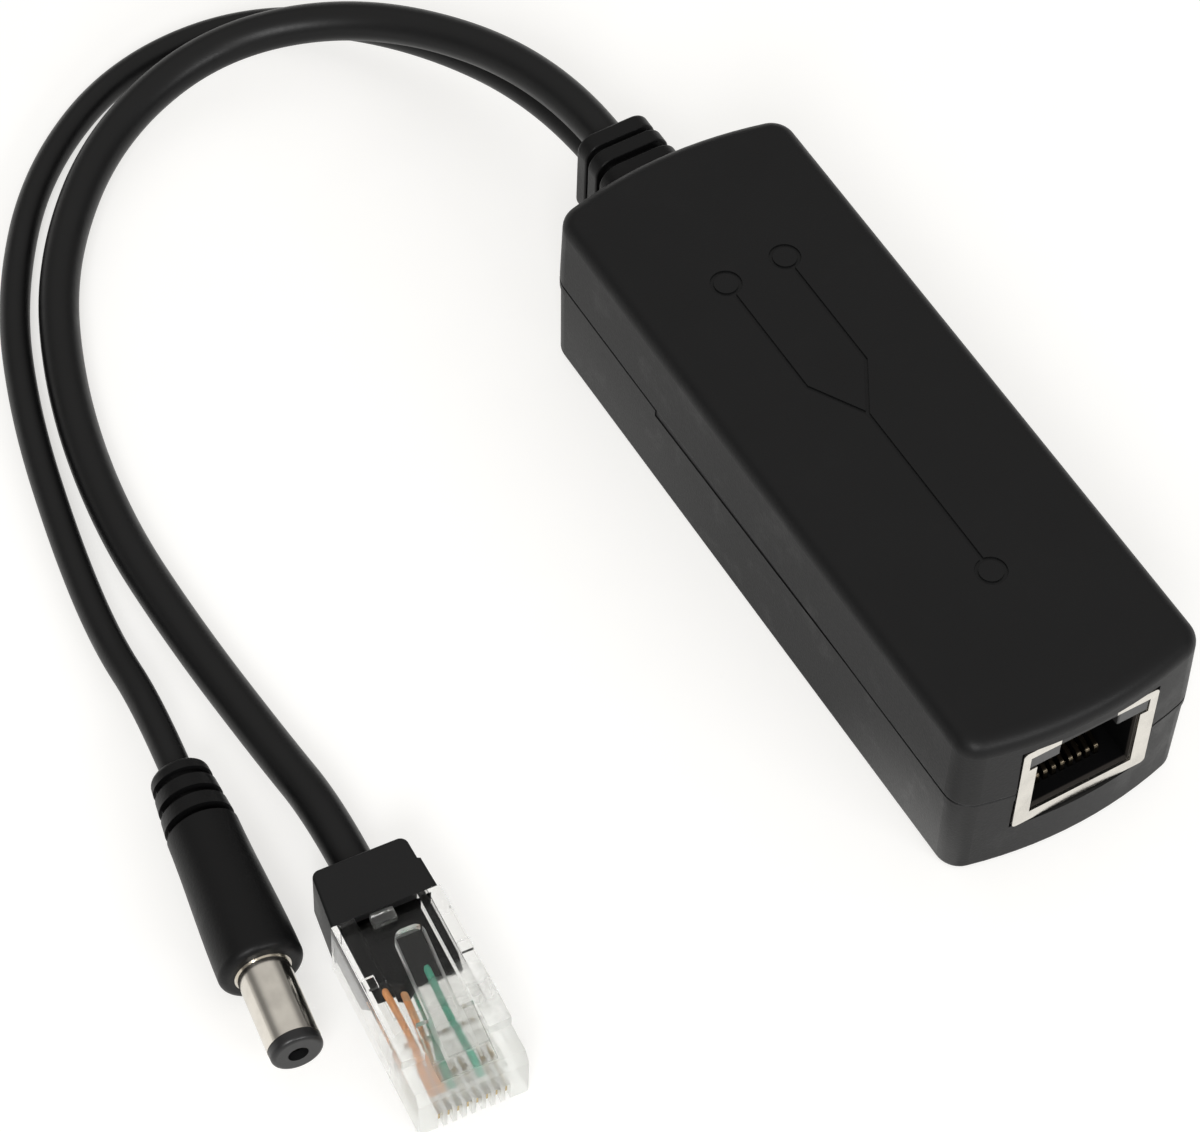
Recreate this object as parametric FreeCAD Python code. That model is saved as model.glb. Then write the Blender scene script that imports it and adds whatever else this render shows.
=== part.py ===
import FreeCAD, Part
import math
import os

os.makedirs("parts", exist_ok=True)

V = FreeCAD.Vector
X_AXIS = V(1, 0, 0)
Y_AXIS = V(0, 1, 0)
Z_AXIS = V(0, 0, 1)

# Splitter for network power. All sizes are in millimetres. The origin is under the middle of the
# housing, on the table. The jack faces the minus Y side and the two cords leave at the plus Y side.

# Housing. Its height follows from the jack inside it.
body_length = 82.0
body_width = 28.5
end_bow = 2.1
parting_z = 12.2
draft_deg = 1.0
plan_corner_r = 3.0
smallest_corner_r = 0.4
wall = 1.8
top_edge_r = 1.8
bottom_edge_r = 0.8
seam_r = 0.3
rim_height = 1.0
rim_step = 0.12
tongue_height = 1.2
fit_gap = 0.1

# Fine opening along the seam of the left side: it starts at once and closes slowly
seam_cut_rear = 17.9
seam_cut_front = -22.0
seam_cut_height = 1.0
seam_cut_depth = 0.12

# Pressed line on the cover: one line that forks into two, each with a ring at its end
mark_width = 0.42
mark_depth = 0.18
mark_stem = 21.0
mark_fork = 6.0
mark_arm = 14.0
mark_spread = 3.6
mark_ring_r = 1.5
mark_start = -20.5

# Circuit board
board_thickness = 1.6
board_z = 4.5
board_side_gap = 0.75
board_front_gap = 3.78
board_rear_gap = 3.8
board_corner_r = 2.0
post_r = 2.4
post_inset = 2.5
post_end_gap = 2.1
locating_pin_r = 0.9
locating_pin_height = 0.8
clamp_r = 1.6
clamp_gap = 0.05

# Network plug, in its own frame: the nose is at zero and the cord leaves at plus Y
plug_nose = (-68.35, -38.5)
plug_turn_deg = -4.8
plug_width = 11.68
plug_nose_height = 6.6
plug_rear_height = 8.0
plug_step_y = 3.9
plug_nose_chamfer = (0.85, 1.2)
plug_edge_r = 0.2
plug_length = 21.46
plug_skin_gap = 1.16
plug_tail_inset = 1.0
plug_floor = 1.3
plug_cavity_width = 9.6
plug_cavity_top = 5.6
plug_cavity_front = 6.6
channel_width = 8.3
channel_bottom = 2.75
channel_top = 3.95
channel_front = 1.5
latch_well_width = 6.7
latch_well_floor = 6.6
blade_slot = 0.56
blade_slot_length = 5.8
blade_slot_height = 2.75
blade_thickness = 0.3
blade_length = 4.9
blade_height = 2.2
blade_lift = 0.35
blade_start = 0.45
blade_corner_r = 0.6
blade_tooth_height = 0.7
blade_tooth_half = 0.4
blade_teeth = (1.3, 2.8)
latch_root_y = 0.9
latch_root_length = 1.7
latch_root_rise = 0.35
latch_shoulder_y = 6.8
latch_end_y = 15.4
latch_root_width = 6.0
latch_tab_width = 3.2
latch_thickness = 0.95
latch_end_top = 11.5
latch_tab_r = 1.0
crimp_recess = (6.0, 3.6, 0.8)
crimp_recess_y = 12.0
ear_size = 1.3
ear_y = 12.2
ear_height = 0.55

# Network jack. Its mouth takes the network plug, latch up.
jack_width = 16.0
jack_depth = 21.3
jack_setback = 0.62
jack_window_gap = 0.15
jack_head_room = 1.2
shield_sheet = 0.3
shield_corner_r = 0.6
shield_side_bar = 0.95
shield_top_bar = 1.2
mouth_bottom = 1.6
mouth_gap = 0.28
cavity_gap = 0.11
plug_height_gap = 0.15
latch_room = 2.0
latch_side_gap = 0.3
cavity_end_wall = 7.3
led_depth = 7.5
contact_pitch = 1.016
contact_count = 8
contact_width = 0.46
contact_sheet = 0.3
contact_bend_r = 0.45
contact_run_h = 1.0
contact_front = 2.6
contact_turn_h = 2.7
contact_end_depth = 10.8
contact_end_h = 5.3
contact_slot_gap = 0.1
tail_insets = (6.3, 3.76)
tail_length = 2.6
tail_gap = 0.12
peg_r = 1.55
peg_depth = 8.9
peg_x = 5.72
shield_tab_width = 2.0
shield_tab_depth = 6.0

# Room that the parts below are laid out for: board width, free length behind the jack, height over
# the board. They grow and shrink with the room that the housing leaves.
layout_width = 23.4
layout_length = 54.5
layout_height = 14.25

# Network transformer module and small parts on the board
lan_size = (7.1, 12.7, 5.7)
lan_center = (-5.9, 10.5)
lan_lead_count = 8
lan_pitch = 1.27
lead_width = 0.45
lead_sheet = 0.25
lead_reach = 1.25
lead_foot = 0.7
rectifier_size = (4.0, 4.7, 2.5)
rectifier_centers = ((3.6, 4.1), (3.6, 10.5))
rectifier_pitch = 2.54
chip_size = (3.9, 4.9, 1.5)
chip_center = (7.2, 28.5)
coupler_size = (6.4, 4.6, 3.4)
coupler_center = (7.2, 34.5)
coupler_pitch = 2.54
body_lift = 0.12
ceramic_size = (1.6, 3.2, 1.3)
ceramic_centers = ((9.6, 6.9), (9.6, 10.7), (10.3, 23.1), (0.6, 40.9))
diode_size = (6.0, 7.0, 2.3)
diode_center = (-6.2, 38.3)
diode_tab_width = 3.0
diode_tab_reach = 0.5

# Upright capacitors
input_cap_r = 4.0
input_cap_height = 11.5
input_cap_center = (7.0, 17.1)
output_cap_r = 3.15
output_cap_height = 11.0
output_cap_center = (-7.2, 46.3)
cap_lead_r = 0.3
cap_lead_space = 3.5
cap_groove_z = (1.5, 1.8)
cap_groove_depth = 0.3
cap_roll_width = 0.6
cap_lead_length = 2.4

# Power transformer, lying flat on its bobbin
core_width = 13.2
core_length = 12.4
core_height = 6.0
core_leg = 2.2
core_middle_width = 3.0
core_center = (-4.0, 26.5)
bobbin_wall = 0.6
bobbin_flange = 0.7
bobbin_gap = 0.1
flange_height = 11.6
rail_length = 3.2
rail_width = 12.6
winding_side = 2.3
winding_foot_gap = 0.15
winding_corner_r = 1.4
core_pin_r = 0.32
core_pins = 4
core_pin_pitch = 2.6
pin_length = 2.3

# Output choke
choke_r = 3.9
choke_height = 7.2
choke_waist_r = 2.0
choke_flange = 1.1
choke_winding_inset = 0.4
choke_center = (6.0, 43.7)

# Cords
data_cord_r = 2.2
power_cord_r = 1.65
data_exit_z = 12.9
power_exit_z = 8.4

# Cable relief at the rear end
relief_reach = 9.8
relief_width = 8.7
relief_top = 16.4
relief_bottom = 4.9
relief_corner_r = 2.0
relief_growth = 0.2
relief_groove_depth = 0.75
relief_rib_edges = (7.75, 7.05, 5.25, 4.35)
relief_wall_gap = 0.06
relief_neck_inset = 0.9
relief_flange_out = 0.7
relief_flange_thickness = 1.5
relief_window_gap = 0.06
relief_edge_r = 0.5
relief_rib_r = 0.25

# Leads inside the housing
data_lead_r = 0.42
power_lead_r = 0.55
data_lead_space = 0.95
data_pads = ((-5.2, 2.0), (-3.2, 3.4), (-1.2, 4.8), (0.9, 6.2))
power_lead_space = 1.5
power_pads = ((1.6, 1.8), (5.4, 3.0))
lead_straight = 1.5
lead_lift_share = 0.45
lead_least_lift = 1.2

# Black filler inside the plug, and its four wires
filler_gap = 0.12
filler_step_y = 14.5
filler_tongue_top = 3.5
filler_front = (11.3, 12.1, 11.7, 12.6, 12.0, 13.0, 12.2)
wire_r = 0.46
wire_start_gap = 0.1
wire_start_z = 4.3
wire_pass_z = 3.55
wire_end_z = 3.33
wire_end_y = 1.8
wire_pins = {"orange": 0, "orange_white": 1, "green_white": 2, "green": 5}
wire_starts = {"orange": -3.2, "orange_white": -1.3, "green_white": 0.2, "green": 2.0}
wire_passes = {"orange": -2.85, "orange_white": -1.75, "green_white": -0.7, "green": 1.8}
wire_pass_y = 8.2
wire_flat_y = 4.9

# Moulded boot behind the network plug: its outline from above as across and along, then its heights
boot_gap = 0.02
boot_length = 6.65
boot_step_at = (3.7, 3.85)
plug_skin_length = plug_length - plug_skin_gap
boot_front_y = plug_skin_length + boot_gap
boot_rear_y = plug_skin_length + boot_length
boot_outline = ((5.6, boot_front_y), (5.45, plug_skin_length + boot_step_at[0]),
                (5.15, plug_skin_length + boot_step_at[1]), (5.05, boot_rear_y),
                (-5.05, boot_rear_y), (-5.75, boot_front_y))
boot_bottom = 0.1
boot_top = 8.0
boot_corner_r = 0.9
boot_heel_r = 1.6
boot_edge_r = 0.35

# Power plug, along its own axis from the cord to the tip
power_plug_start = (-75.95, 7.7, 3.8)
power_plug_turn_deg = 8.4
power_plug_rise_deg = 1.6
grip_length = 25.0
barrel_reach = 9.9
grip_start_r = 3.1
grip_relief_r = 3.75
grip_body_r = 3.8
grip_waist_r = 3.95
grip_front_r = 4.4
grip_waist_at = 13.0
grip_swell_at = 19.5
grip_slots = ((1.5, 2.4), (3.95, 4.9), (6.5, 7.45))
grip_slot_r = 2.5
grip_bridge_width = 1.6
grip_rear_edge_r = 0.8
grip_front_edge_r = 0.9
barrel_r = 2.75
barrel_wall = 0.3
barrel_inside = 3.0
barrel_collar = 0.2
plug_part_gap = 0.02
tip_length = 1.2
tip_r = 2.7
tip_edge_r = 0.5
bore_r = 1.05
contact_tube_wall = 0.25
contact_tube_recess = 1.0

# Cord routes, between the relief and each plug
data_route = [
    (0.0, 63.0, data_exit_z),
    (-10.5, 82.5, 9.4),
    (-26.5, 91.0, 6.2),
    (-43.5, 86.5, 4.2),
    (-56.5, 73.5, 3.0),
    (-63.5, 57.5, 2.4),
    (-67.0, 40.0, 2.25),
    (-67.0, 23.5, 2.25),
    (-66.0, 6.5, 2.7),
]
data_last_run = 7.9
power_route = [
    (0.0, 62.5, power_exit_z),
    (-7.0, 82.0, 4.6),
    (-20.0, 95.0, 2.3),
    (-37.0, 96.0, 1.75),
    (-52.0, 87.0, 1.7),
    (-62.5, 72.5, 1.7),
    (-68.3, 57.5, 1.7),
    (-72.2, 40.5, 1.7),
    (-74.3, 27.0, 1.9),
]
power_last_run = 9.0

# Sizes that follow from the ones above
bow_radius = ((body_width / 2) ** 2 + end_bow ** 2) / (2 * end_bow)
draft = math.tan(math.radians(draft_deg))
board_top = board_z + board_thickness
jack_z = board_top
jack_front = -body_length / 2 + jack_setback
jack_rear = jack_front + jack_depth
cavity_depth = jack_depth - cavity_end_wall
mouth_half_width = plug_width / 2 + mouth_gap
cavity_half_width = plug_width / 2 + cavity_gap
cavity_bottom = mouth_bottom + fit_gap
mouth_shoulder = cavity_bottom + plug_rear_height + plug_height_gap
mouth_top = mouth_shoulder + latch_room
latch_half_width = latch_root_width / 2 + latch_side_gap
upper_half_width = jack_width / 2 - shield_side_bar
jack_height = mouth_top + shield_top_bar
body_height = jack_z + jack_height + jack_head_room + wall
ceiling = body_height - wall
board_width = body_width - 2 * (wall + board_side_gap)
board_front = jack_front + board_front_gap
board_rear = body_length / 2 - wall - board_rear_gap
post_x = board_width / 2 - post_inset
post_rows = (jack_rear + post_end_gap, board_rear - post_end_gap - clamp_r / 2)
relief_rear = body_length / 2 + relief_reach
fit_x = board_width / layout_width
fit_y = (board_rear - jack_rear) / layout_length
fit_z = (ceiling - board_top) / layout_height
fit_round = min(fit_x, fit_y)


def spot(center):
    """Where a part of the layout comes on the board: across, and along from the jack's rear face."""
    return center[0] * fit_x, jack_rear + center[1] * fit_y


def fitted(size):
    """A part's width, length and height, fitted to the room on the board."""
    return size[0] * fit_x, size[1] * fit_y, size[2] * fit_z


def save(name, shape):
    """Write one sub-part and say what it is."""
    solids = shape.Solids
    volume = sum(s.Volume for s in solids)
    print(f"{name}: {len(solids)} solid(s), {volume:.1f} mm3, valid {shape.isValid()}")
    shape.exportStep(f"parts/{name}.step")


def block(x0, x1, y0, y1, z0, z1):
    """A box given by its limits."""
    return Part.makeBox(x1 - x0, y1 - y0, z1 - z0, V(x0, y0, z0))


def fuse_all(shapes):
    """One solid from several that meet."""
    whole = shapes[0]
    if len(shapes) > 1:
        whole = whole.multiFuse(shapes[1:])
    return whole.removeSplitter()


def cut_all(shape, tools):
    """Take all the tools away from the shape."""
    return shape.cut(Part.makeCompound(tools))


def edges_where(shape, test):
    """The edges whose every vertex passes a test."""
    return [e for e in shape.Edges if all(test(v.Point) for v in e.Vertexes)]


def plan_outline(inset, z):
    """The housing seen from above: straight sides, bowed ends and round corners, moved in by inset."""
    half = body_width / 2 - inset
    bow = bow_radius - inset
    corner = max(plan_corner_r - inset, smallest_corner_r)
    bow_center = body_length / 2 - bow_radius
    corner_x = half - corner
    corner_y = bow_center + math.sqrt((bow - corner) ** 2 - corner_x ** 2)
    lean = math.atan2(corner_y - bow_center, corner_x)

    def at(angle, sx, sy):
        return V(sx * (corner_x + corner * math.cos(angle)), sy * (corner_y + corner * math.sin(angle)), z)

    edges = []
    for sy in (1, -1):
        side = Part.LineSegment(V(sy * half, -sy * corner_y, z), V(sy * half, sy * corner_y, z))
        first = Part.Arc(at(0, sy, sy), at(lean / 2, sy, sy), at(lean, sy, sy))
        end = Part.Arc(at(lean, sy, sy), V(0, sy * (bow_center + bow), z), at(lean, -sy, sy))
        last = Part.Arc(at(lean, -sy, sy), at(lean / 2, -sy, sy), at(0, -sy, sy))
        edges += [side.toShape(), first.toShape(), end.toShape(), last.toShape()]
    return Part.Wire(edges)


def drafted(inset_low, z_low, inset_high, z_high):
    """A block of the housing's outline whose walls lean between two heights."""
    low = plan_outline(inset_low, z_low)
    high = plan_outline(inset_high, z_high)
    return Part.makeLoft([low, high], True, True)


def straight(inset, z_low, z_high):
    """An upright block of the housing's outline."""
    return Part.Face(plan_outline(inset, z_low)).extrude(V(0, 0, z_high - z_low))


def round_rect(x0, x1, z0, z1, radius, y):
    """A rounded rectangle standing across the Y axis."""
    quarter = 90
    corners = [(x1, z0, -quarter), (x1, z1, 0), (x0, z1, quarter), (x0, z0, 2 * quarter)]
    arcs = []
    for cx, cz, start in corners:
        mx = cx + (radius if cx == x0 else -radius)
        mz = cz + (radius if cz == z0 else -radius)
        points = []
        for turn in (0, 45, 90):
            angle = math.radians(start + turn)
            points.append(V(mx + radius * math.cos(angle), y, mz + radius * math.sin(angle)))
        arcs.append(points)
    edges = []
    for i, points in enumerate(arcs):
        edges.append(Part.Arc(*points).toShape())
        edges.append(Part.LineSegment(points[2], arcs[(i + 1) % 4][0]).toShape())
    return Part.Wire(edges)


def round_bar(x0, x1, z0, z1, radius, y0, y1):
    """A bar of rounded rectangular section along the Y axis."""
    return Part.Face(round_rect(x0, x1, z0, z1, radius, y0)).extrude(V(0, y1 - y0, 0))


def prism(points, push):
    """A straight prism on a polygon."""
    wire = Part.makePolygon([V(*p) for p in points] + [V(*points[0])])
    return Part.Face(wire).extrude(V(*push))


def turned(profile):
    """A solid turned about the Z axis from points of radius and height."""
    points = [V(r, 0, h) for r, h in profile]
    wire = Part.makePolygon(points + [points[0]])
    return Part.Face(wire).revolve(V(0, 0, 0), Z_AXIS, 360)


def tube(points, radius, bend_r=None, name=None):
    """A round tube along straight runs joined by tangent arcs, each as large as its runs allow."""
    pts = [V(*p) for p in points]
    edges = []
    radii = []
    here = pts[0]
    for i in range(1, len(pts) - 1):
        into = pts[i] - pts[i - 1]
        out = pts[i + 1] - pts[i]
        turn = into.getAngle(out)
        shorter = min(into.Length, out.Length)
        arc_r = 0.45 * shorter / math.tan(turn / 2)
        if bend_r:
            arc_r = min(bend_r, arc_r)
        radii.append(arc_r)
        trim = arc_r * math.tan(turn / 2)
        u = V(into).normalize()
        w = V(out).normalize()
        start = pts[i] - u * trim
        stop = pts[i] + w * trim
        inward = (w - u).normalize()
        middle = pts[i] + inward * (arc_r / math.cos(turn / 2) - arc_r)
        edges.append(Part.LineSegment(here, start).toShape())
        edges.append(Part.Arc(start, middle, stop).toShape())
        here = stop
    edges.append(Part.LineSegment(here, pts[-1]).toShape())
    path = Part.Wire(edges)
    ring = Part.Wire([Part.Circle(pts[0], pts[1] - pts[0], radius).toShape()])
    body = path.makePipeShell([ring], True, False)
    if name:
        share = body.Volume / (math.pi * radius ** 2 * path.Length)
        runs = [round((pts[i + 1] - pts[i]).Length, 1) for i in range(len(pts) - 1)]
        print(f"{name}: length {path.Length:.1f}, volume over section times length {share:.4f}")
        print(f"  runs {runs}")
        print(f"  radii {[round(r, 1) for r in radii]}")
    return body


def jack_box(x0, x1, d0, d1, h0, h1):
    """A box in the jack's own terms: across, in from its front, and up from its foot."""
    return block(x0, x1, jack_front + d0, jack_front + d1, jack_z + h0, jack_z + h1)


def contact_x(index):
    """Where one of the eight contacts lies across the jack or the plug."""
    return (index - (contact_count - 1) / 2) * contact_pitch


def contact_tail(index):
    """How far in the tail of one jack contact goes down through the board."""
    return jack_depth - tail_insets[index % 2]


def relief_block(inset, y0, y1):
    """A piece of the cable relief, set in or out from the section of its rear rib."""
    half = relief_width / 2 - inset
    corner = max(relief_corner_r - inset, smallest_corner_r)
    return round_bar(-half, half, relief_bottom + inset, relief_top - inset, corner, y0, y1)


def jack_window():
    """The opening in both shells that the jack looks out of."""
    gap = jack_window_gap
    return block(-jack_width / 2 - gap, jack_width / 2 + gap, -body_length, jack_front + jack_depth / 2,
                 jack_z - gap, jack_z + jack_height + gap)


def relief_window():
    """The opening in both shells that the neck of the cable relief fills."""
    inset = relief_neck_inset - relief_window_gap
    return relief_block(inset, body_length / 2 - 3 * wall, body_length)


def shell_posts(z0, z1, radius):
    """Four round posts at the board's corners."""
    posts = []
    for sx in (-1, 1):
        for y in post_rows:
            posts.append(Part.makeCylinder(radius, z1 - z0, V(sx * post_x, y, z0)))
    return posts


def bottom_case():
    """The lower shell, with a rim band, a tongue all round, and four posts for the board."""
    outer = drafted(draft * parting_z + rim_step, 0, rim_step + draft * rim_height, parting_z - rim_height)
    foot = edges_where(outer, lambda p: p.z < 1e-6)
    outer = outer.makeFillet(bottom_edge_r, foot)
    rim = drafted(draft * rim_height, parting_z - rim_height, 0, parting_z)
    lip = edges_where(rim, lambda p: p.z > parting_z - 1e-6)
    rim = rim.makeChamfer(seam_r / 2, lip)
    hollow_low = wall + draft * (parting_z - wall)
    hollow = drafted(hollow_low, wall, wall, parting_z)
    shell = fuse_all([outer, rim]).cut(hollow)
    middle = wall / 2 + fit_gap / 2
    tongue = straight(middle, parting_z - fit_gap, parting_z + tongue_height)
    tongue = tongue.cut(straight(wall, parting_z - 2 * fit_gap, parting_z + 2 * tongue_height))
    posts = shell_posts(wall / 2, board_z, post_r)
    pins = shell_posts(board_z - fit_gap, board_top + locating_pin_height, locating_pin_r)
    shell = fuse_all([shell, tongue] + posts + pins)
    return cut_all(shell, [jack_window(), relief_window(), seam_cut()])


def seam_cut():
    """The long thin wedge that the seam leaves open on the left side."""
    side = -body_width / 2
    outline = [(side - 1, seam_cut_rear, parting_z), (side - 1, seam_cut_front, parting_z),
               (side - 1, seam_cut_rear, parting_z - seam_cut_height)]
    return prism(outline, (1 + seam_cut_depth, 0, 0))


def fork_mark():
    """The pressed line on the cover, as one tool that is cut away from it."""
    z0 = body_height - mark_depth
    half = mark_width / 2
    high = 2 * mark_depth
    fork_y = mark_start + mark_stem
    split_y = fork_y + mark_fork
    end_y = split_y + mark_arm

    def stroke(start, stop):
        along = V(stop[0] - start[0], stop[1] - start[1], 0)
        side = V(-along.y, along.x, 0).normalize() * half
        a = V(start[0], start[1], z0)
        b = a + along
        bar = prism([tuple(a + side), tuple(b + side), tuple(b - side), tuple(a - side)], (0, 0, high))
        return [bar, Part.makeCylinder(half, high, a), Part.makeCylinder(half, high, b)]

    def ring(x, y):
        outer = Part.makeCylinder(mark_ring_r + half, high, V(x, y, z0))
        return outer.cut(Part.makeCylinder(mark_ring_r - half, high, V(x, y, z0)))

    pieces = [ring(0, mark_start - mark_ring_r)]
    pieces += stroke((0, mark_start), (0, fork_y))
    for sx in (-1, 1):
        x = sx * mark_spread
        pieces += stroke((0, fork_y), (x, split_y))
        pieces += stroke((x, split_y), (x, end_y))
        pieces.append(ring(x, end_y + mark_ring_r))
    return fuse_all(pieces)


def top_cover():
    """The upper shell, with a rounded lower rim, a rebate for the tongue, and four clamping posts."""
    rise = body_height - parting_z
    outer = drafted(0, parting_z, draft * rise, body_height)
    crown = edges_where(outer, lambda p: p.z > body_height - 1e-6)
    outer = outer.makeFillet(top_edge_r, crown)
    seam = edges_where(outer, lambda p: p.z < parting_z + 1e-6)
    outer = outer.makeFillet(seam_r, seam)
    hollow = drafted(wall, parting_z, wall + draft * (ceiling - parting_z), ceiling)
    inner_edges = edges_where(hollow, lambda p: p.z > ceiling - 1e-6)
    hollow = hollow.makeFillet(top_edge_r / 2, inner_edges)
    rebate = straight(wall / 2 - fit_gap / 2, parting_z, parting_z + tongue_height + fit_gap)
    shell = outer.cut(hollow).cut(rebate)
    foot = board_top + clamp_gap
    posts = shell_posts(foot, ceiling + wall / 2, clamp_r)
    sockets = shell_posts(foot - clamp_gap, board_top + locating_pin_height + fit_gap, locating_pin_r + fit_gap)
    shell = fuse_all([shell] + posts)
    return cut_all(shell, [jack_window(), relief_window(), fork_mark()] + sockets)


def circuit_board(holes):
    """The board, with rounded corners and a hole for every pin and post."""
    board = block(-board_width / 2, board_width / 2, board_front, board_rear, board_z, board_top)
    upright = [e for e in board.Edges if abs(e.tangentAt(e.FirstParameter).z) > 0.9]
    board = board.makeFillet(board_corner_r, upright)
    tools = []
    for x, y, radius in holes:
        tools.append(Part.makeCylinder(radius, 2 * board_thickness, V(x, y, board_z - board_thickness / 2)))
    for sx in (-1, 1):
        x = sx * (jack_width / 2 - shield_sheet / 2)
        slot = shield_sheet / 2 + tail_gap
        tools.append(block(x - slot, x + slot,
                           jack_front + shield_tab_depth - tail_gap,
                           jack_front + shield_tab_depth + shield_tab_width + tail_gap,
                           board_z - board_thickness, board_top + board_thickness))
    return cut_all(board, tools)


def jack_shield():
    """The folded sheet round the jack: a front frame, three sides and a back, open underneath."""
    half = jack_width / 2
    sheet = shield_sheet
    outer = round_bar(-half, half, jack_z, jack_z + jack_height, shield_corner_r, jack_front, jack_front + jack_depth)
    inner = round_bar(-half + sheet, half - sheet, jack_z + sheet, jack_z + jack_height - sheet,
                      shield_corner_r - sheet, jack_front + sheet, jack_front + jack_depth - sheet)
    under = jack_box(-half + sheet, half - sheet, sheet, jack_depth - sheet, -1, 2 * sheet)
    lower = jack_box(-mouth_half_width, mouth_half_width, -1, 2 * sheet, mouth_bottom, mouth_shoulder)
    upper = jack_box(-upper_half_width, upper_half_width, -1, 2 * sheet, mouth_shoulder - fit_gap, mouth_top)
    shell = cut_all(outer, [inner, under, lower, upper])
    tabs = []
    for sx in (-1, 1):
        x = sx * (half - sheet / 2)
        tabs.append(jack_box(x - sheet / 2, x + sheet / 2, shield_tab_depth,
                             shield_tab_depth + shield_tab_width, -tail_length, 2 * sheet))
    return fuse_all([shell] + tabs)


def jack_insert():
    """The plastic core of the jack, with its stepped cavity, contact slots and two board pegs."""
    half = jack_width / 2 - shield_sheet - fit_gap / 2
    top = jack_height - shield_sheet - fit_gap / 2
    near = shield_sheet + fit_gap / 2
    far = jack_depth - shield_sheet - fit_gap / 2
    core = jack_box(-half, half, near, far, fit_gap / 5, top)
    crown = edges_where(core, lambda p: p.z > jack_z + top - 1e-6)
    core = core.makeFillet(shield_corner_r - shield_sheet, [e for e in crown if abs(e.Length - far + near) < 1e-6])
    tools = [
        jack_box(-cavity_half_width, cavity_half_width, 0, cavity_depth, cavity_bottom, mouth_shoulder),
        jack_box(-latch_half_width, latch_half_width, 0, cavity_depth, mouth_shoulder - fit_gap, mouth_top),
    ]
    for sx in (-1, 1):
        a = sx * latch_half_width
        b = sx * (upper_half_width + fit_gap)
        tools.append(jack_box(min(a, b), max(a, b), 0, led_depth + fit_gap, mouth_shoulder - fit_gap, mouth_top))
    slot = contact_width / 2 + contact_slot_gap
    room = contact_sheet / 2 + contact_slot_gap
    for i in range(contact_count):
        x = contact_x(i)
        tail = contact_tail(i)
        tools.append(jack_box(x - slot, x + slot, contact_front - room, tail + room,
                              contact_run_h - room, contact_run_h + room))
        tools.append(jack_box(x - slot, x + slot, contact_front - room, contact_end_depth + room,
                              contact_run_h, cavity_bottom + fit_gap))
        tools.append(jack_box(x - slot, x + slot, tail - room, tail + room, -contact_run_h, contact_run_h))
    core = cut_all(core, tools)
    pegs = []
    for sx in (-1, 1):
        pegs.append(Part.makeCylinder(peg_r, board_thickness + 0.4,
                                      V(sx * peg_x, jack_front + peg_depth, jack_z - board_thickness - 0.3)))
    return fuse_all([core] + pegs)


def ribbon(path, sheet):
    """The outline of a bent strip whose middle follows a path of flat points."""
    left = []
    right = []
    for i, here in enumerate(path):
        before = path[max(i - 1, 0)]
        after = path[min(i + 1, len(path) - 1)]
        u = V(here[0] - before[0], here[1] - before[1], 0)
        w = V(after[0] - here[0], after[1] - here[1], 0)
        u = u.normalize() if u.Length > 0 else w.normalize()
        w = w.normalize() if w.Length > 0 else u
        bisector = V(-(u.y + w.y), u.x + w.x, 0).normalize()
        reach = sheet / 2 / max(bisector.dot(V(-u.y, u.x, 0)), 0.3)
        left.append((here[0] + bisector.x * reach, here[1] + bisector.y * reach))
        right.append((here[0] - bisector.x * reach, here[1] - bisector.y * reach))
    return left + right[::-1]


def jack_contacts():
    """Eight sprung strips: up from the board, forward under the floor, round the lip and back inside."""
    strips = []
    for i in range(contact_count):
        x = contact_x(i) - contact_width / 2
        tail = contact_tail(i)
        path = [(tail, -tail_length), (tail, contact_run_h), (contact_front, contact_run_h),
                (contact_front, contact_turn_h), (contact_end_depth, contact_end_h)]
        outline = [(x, jack_front + d, jack_z + h) for d, h in ribbon(path, contact_sheet)]
        strip = prism(outline, (contact_width, 0, 0))
        turn = edges_where(strip, lambda p: p.y < jack_front + contact_front - contact_sheet / 3)
        turn = [e for e in turn if abs(e.Vertexes[0].X - e.Vertexes[1].X) > contact_width / 2]
        strips.append(strip.makeFillet(contact_bend_r, turn))
    return Part.makeCompound(strips)


def jack_led(side):
    """One indicator block in an upper corner of the jack."""
    a = side * (latch_half_width + fit_gap)
    b = side * upper_half_width
    low = mouth_shoulder
    lens = jack_box(min(a, b), max(a, b), fit_gap, led_depth, low, mouth_top - fit_gap / 2)
    front = edges_where(lens, lambda p: p.y < jack_front + 2 * fit_gap)
    return lens.makeFillet(0.2, front)


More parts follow.
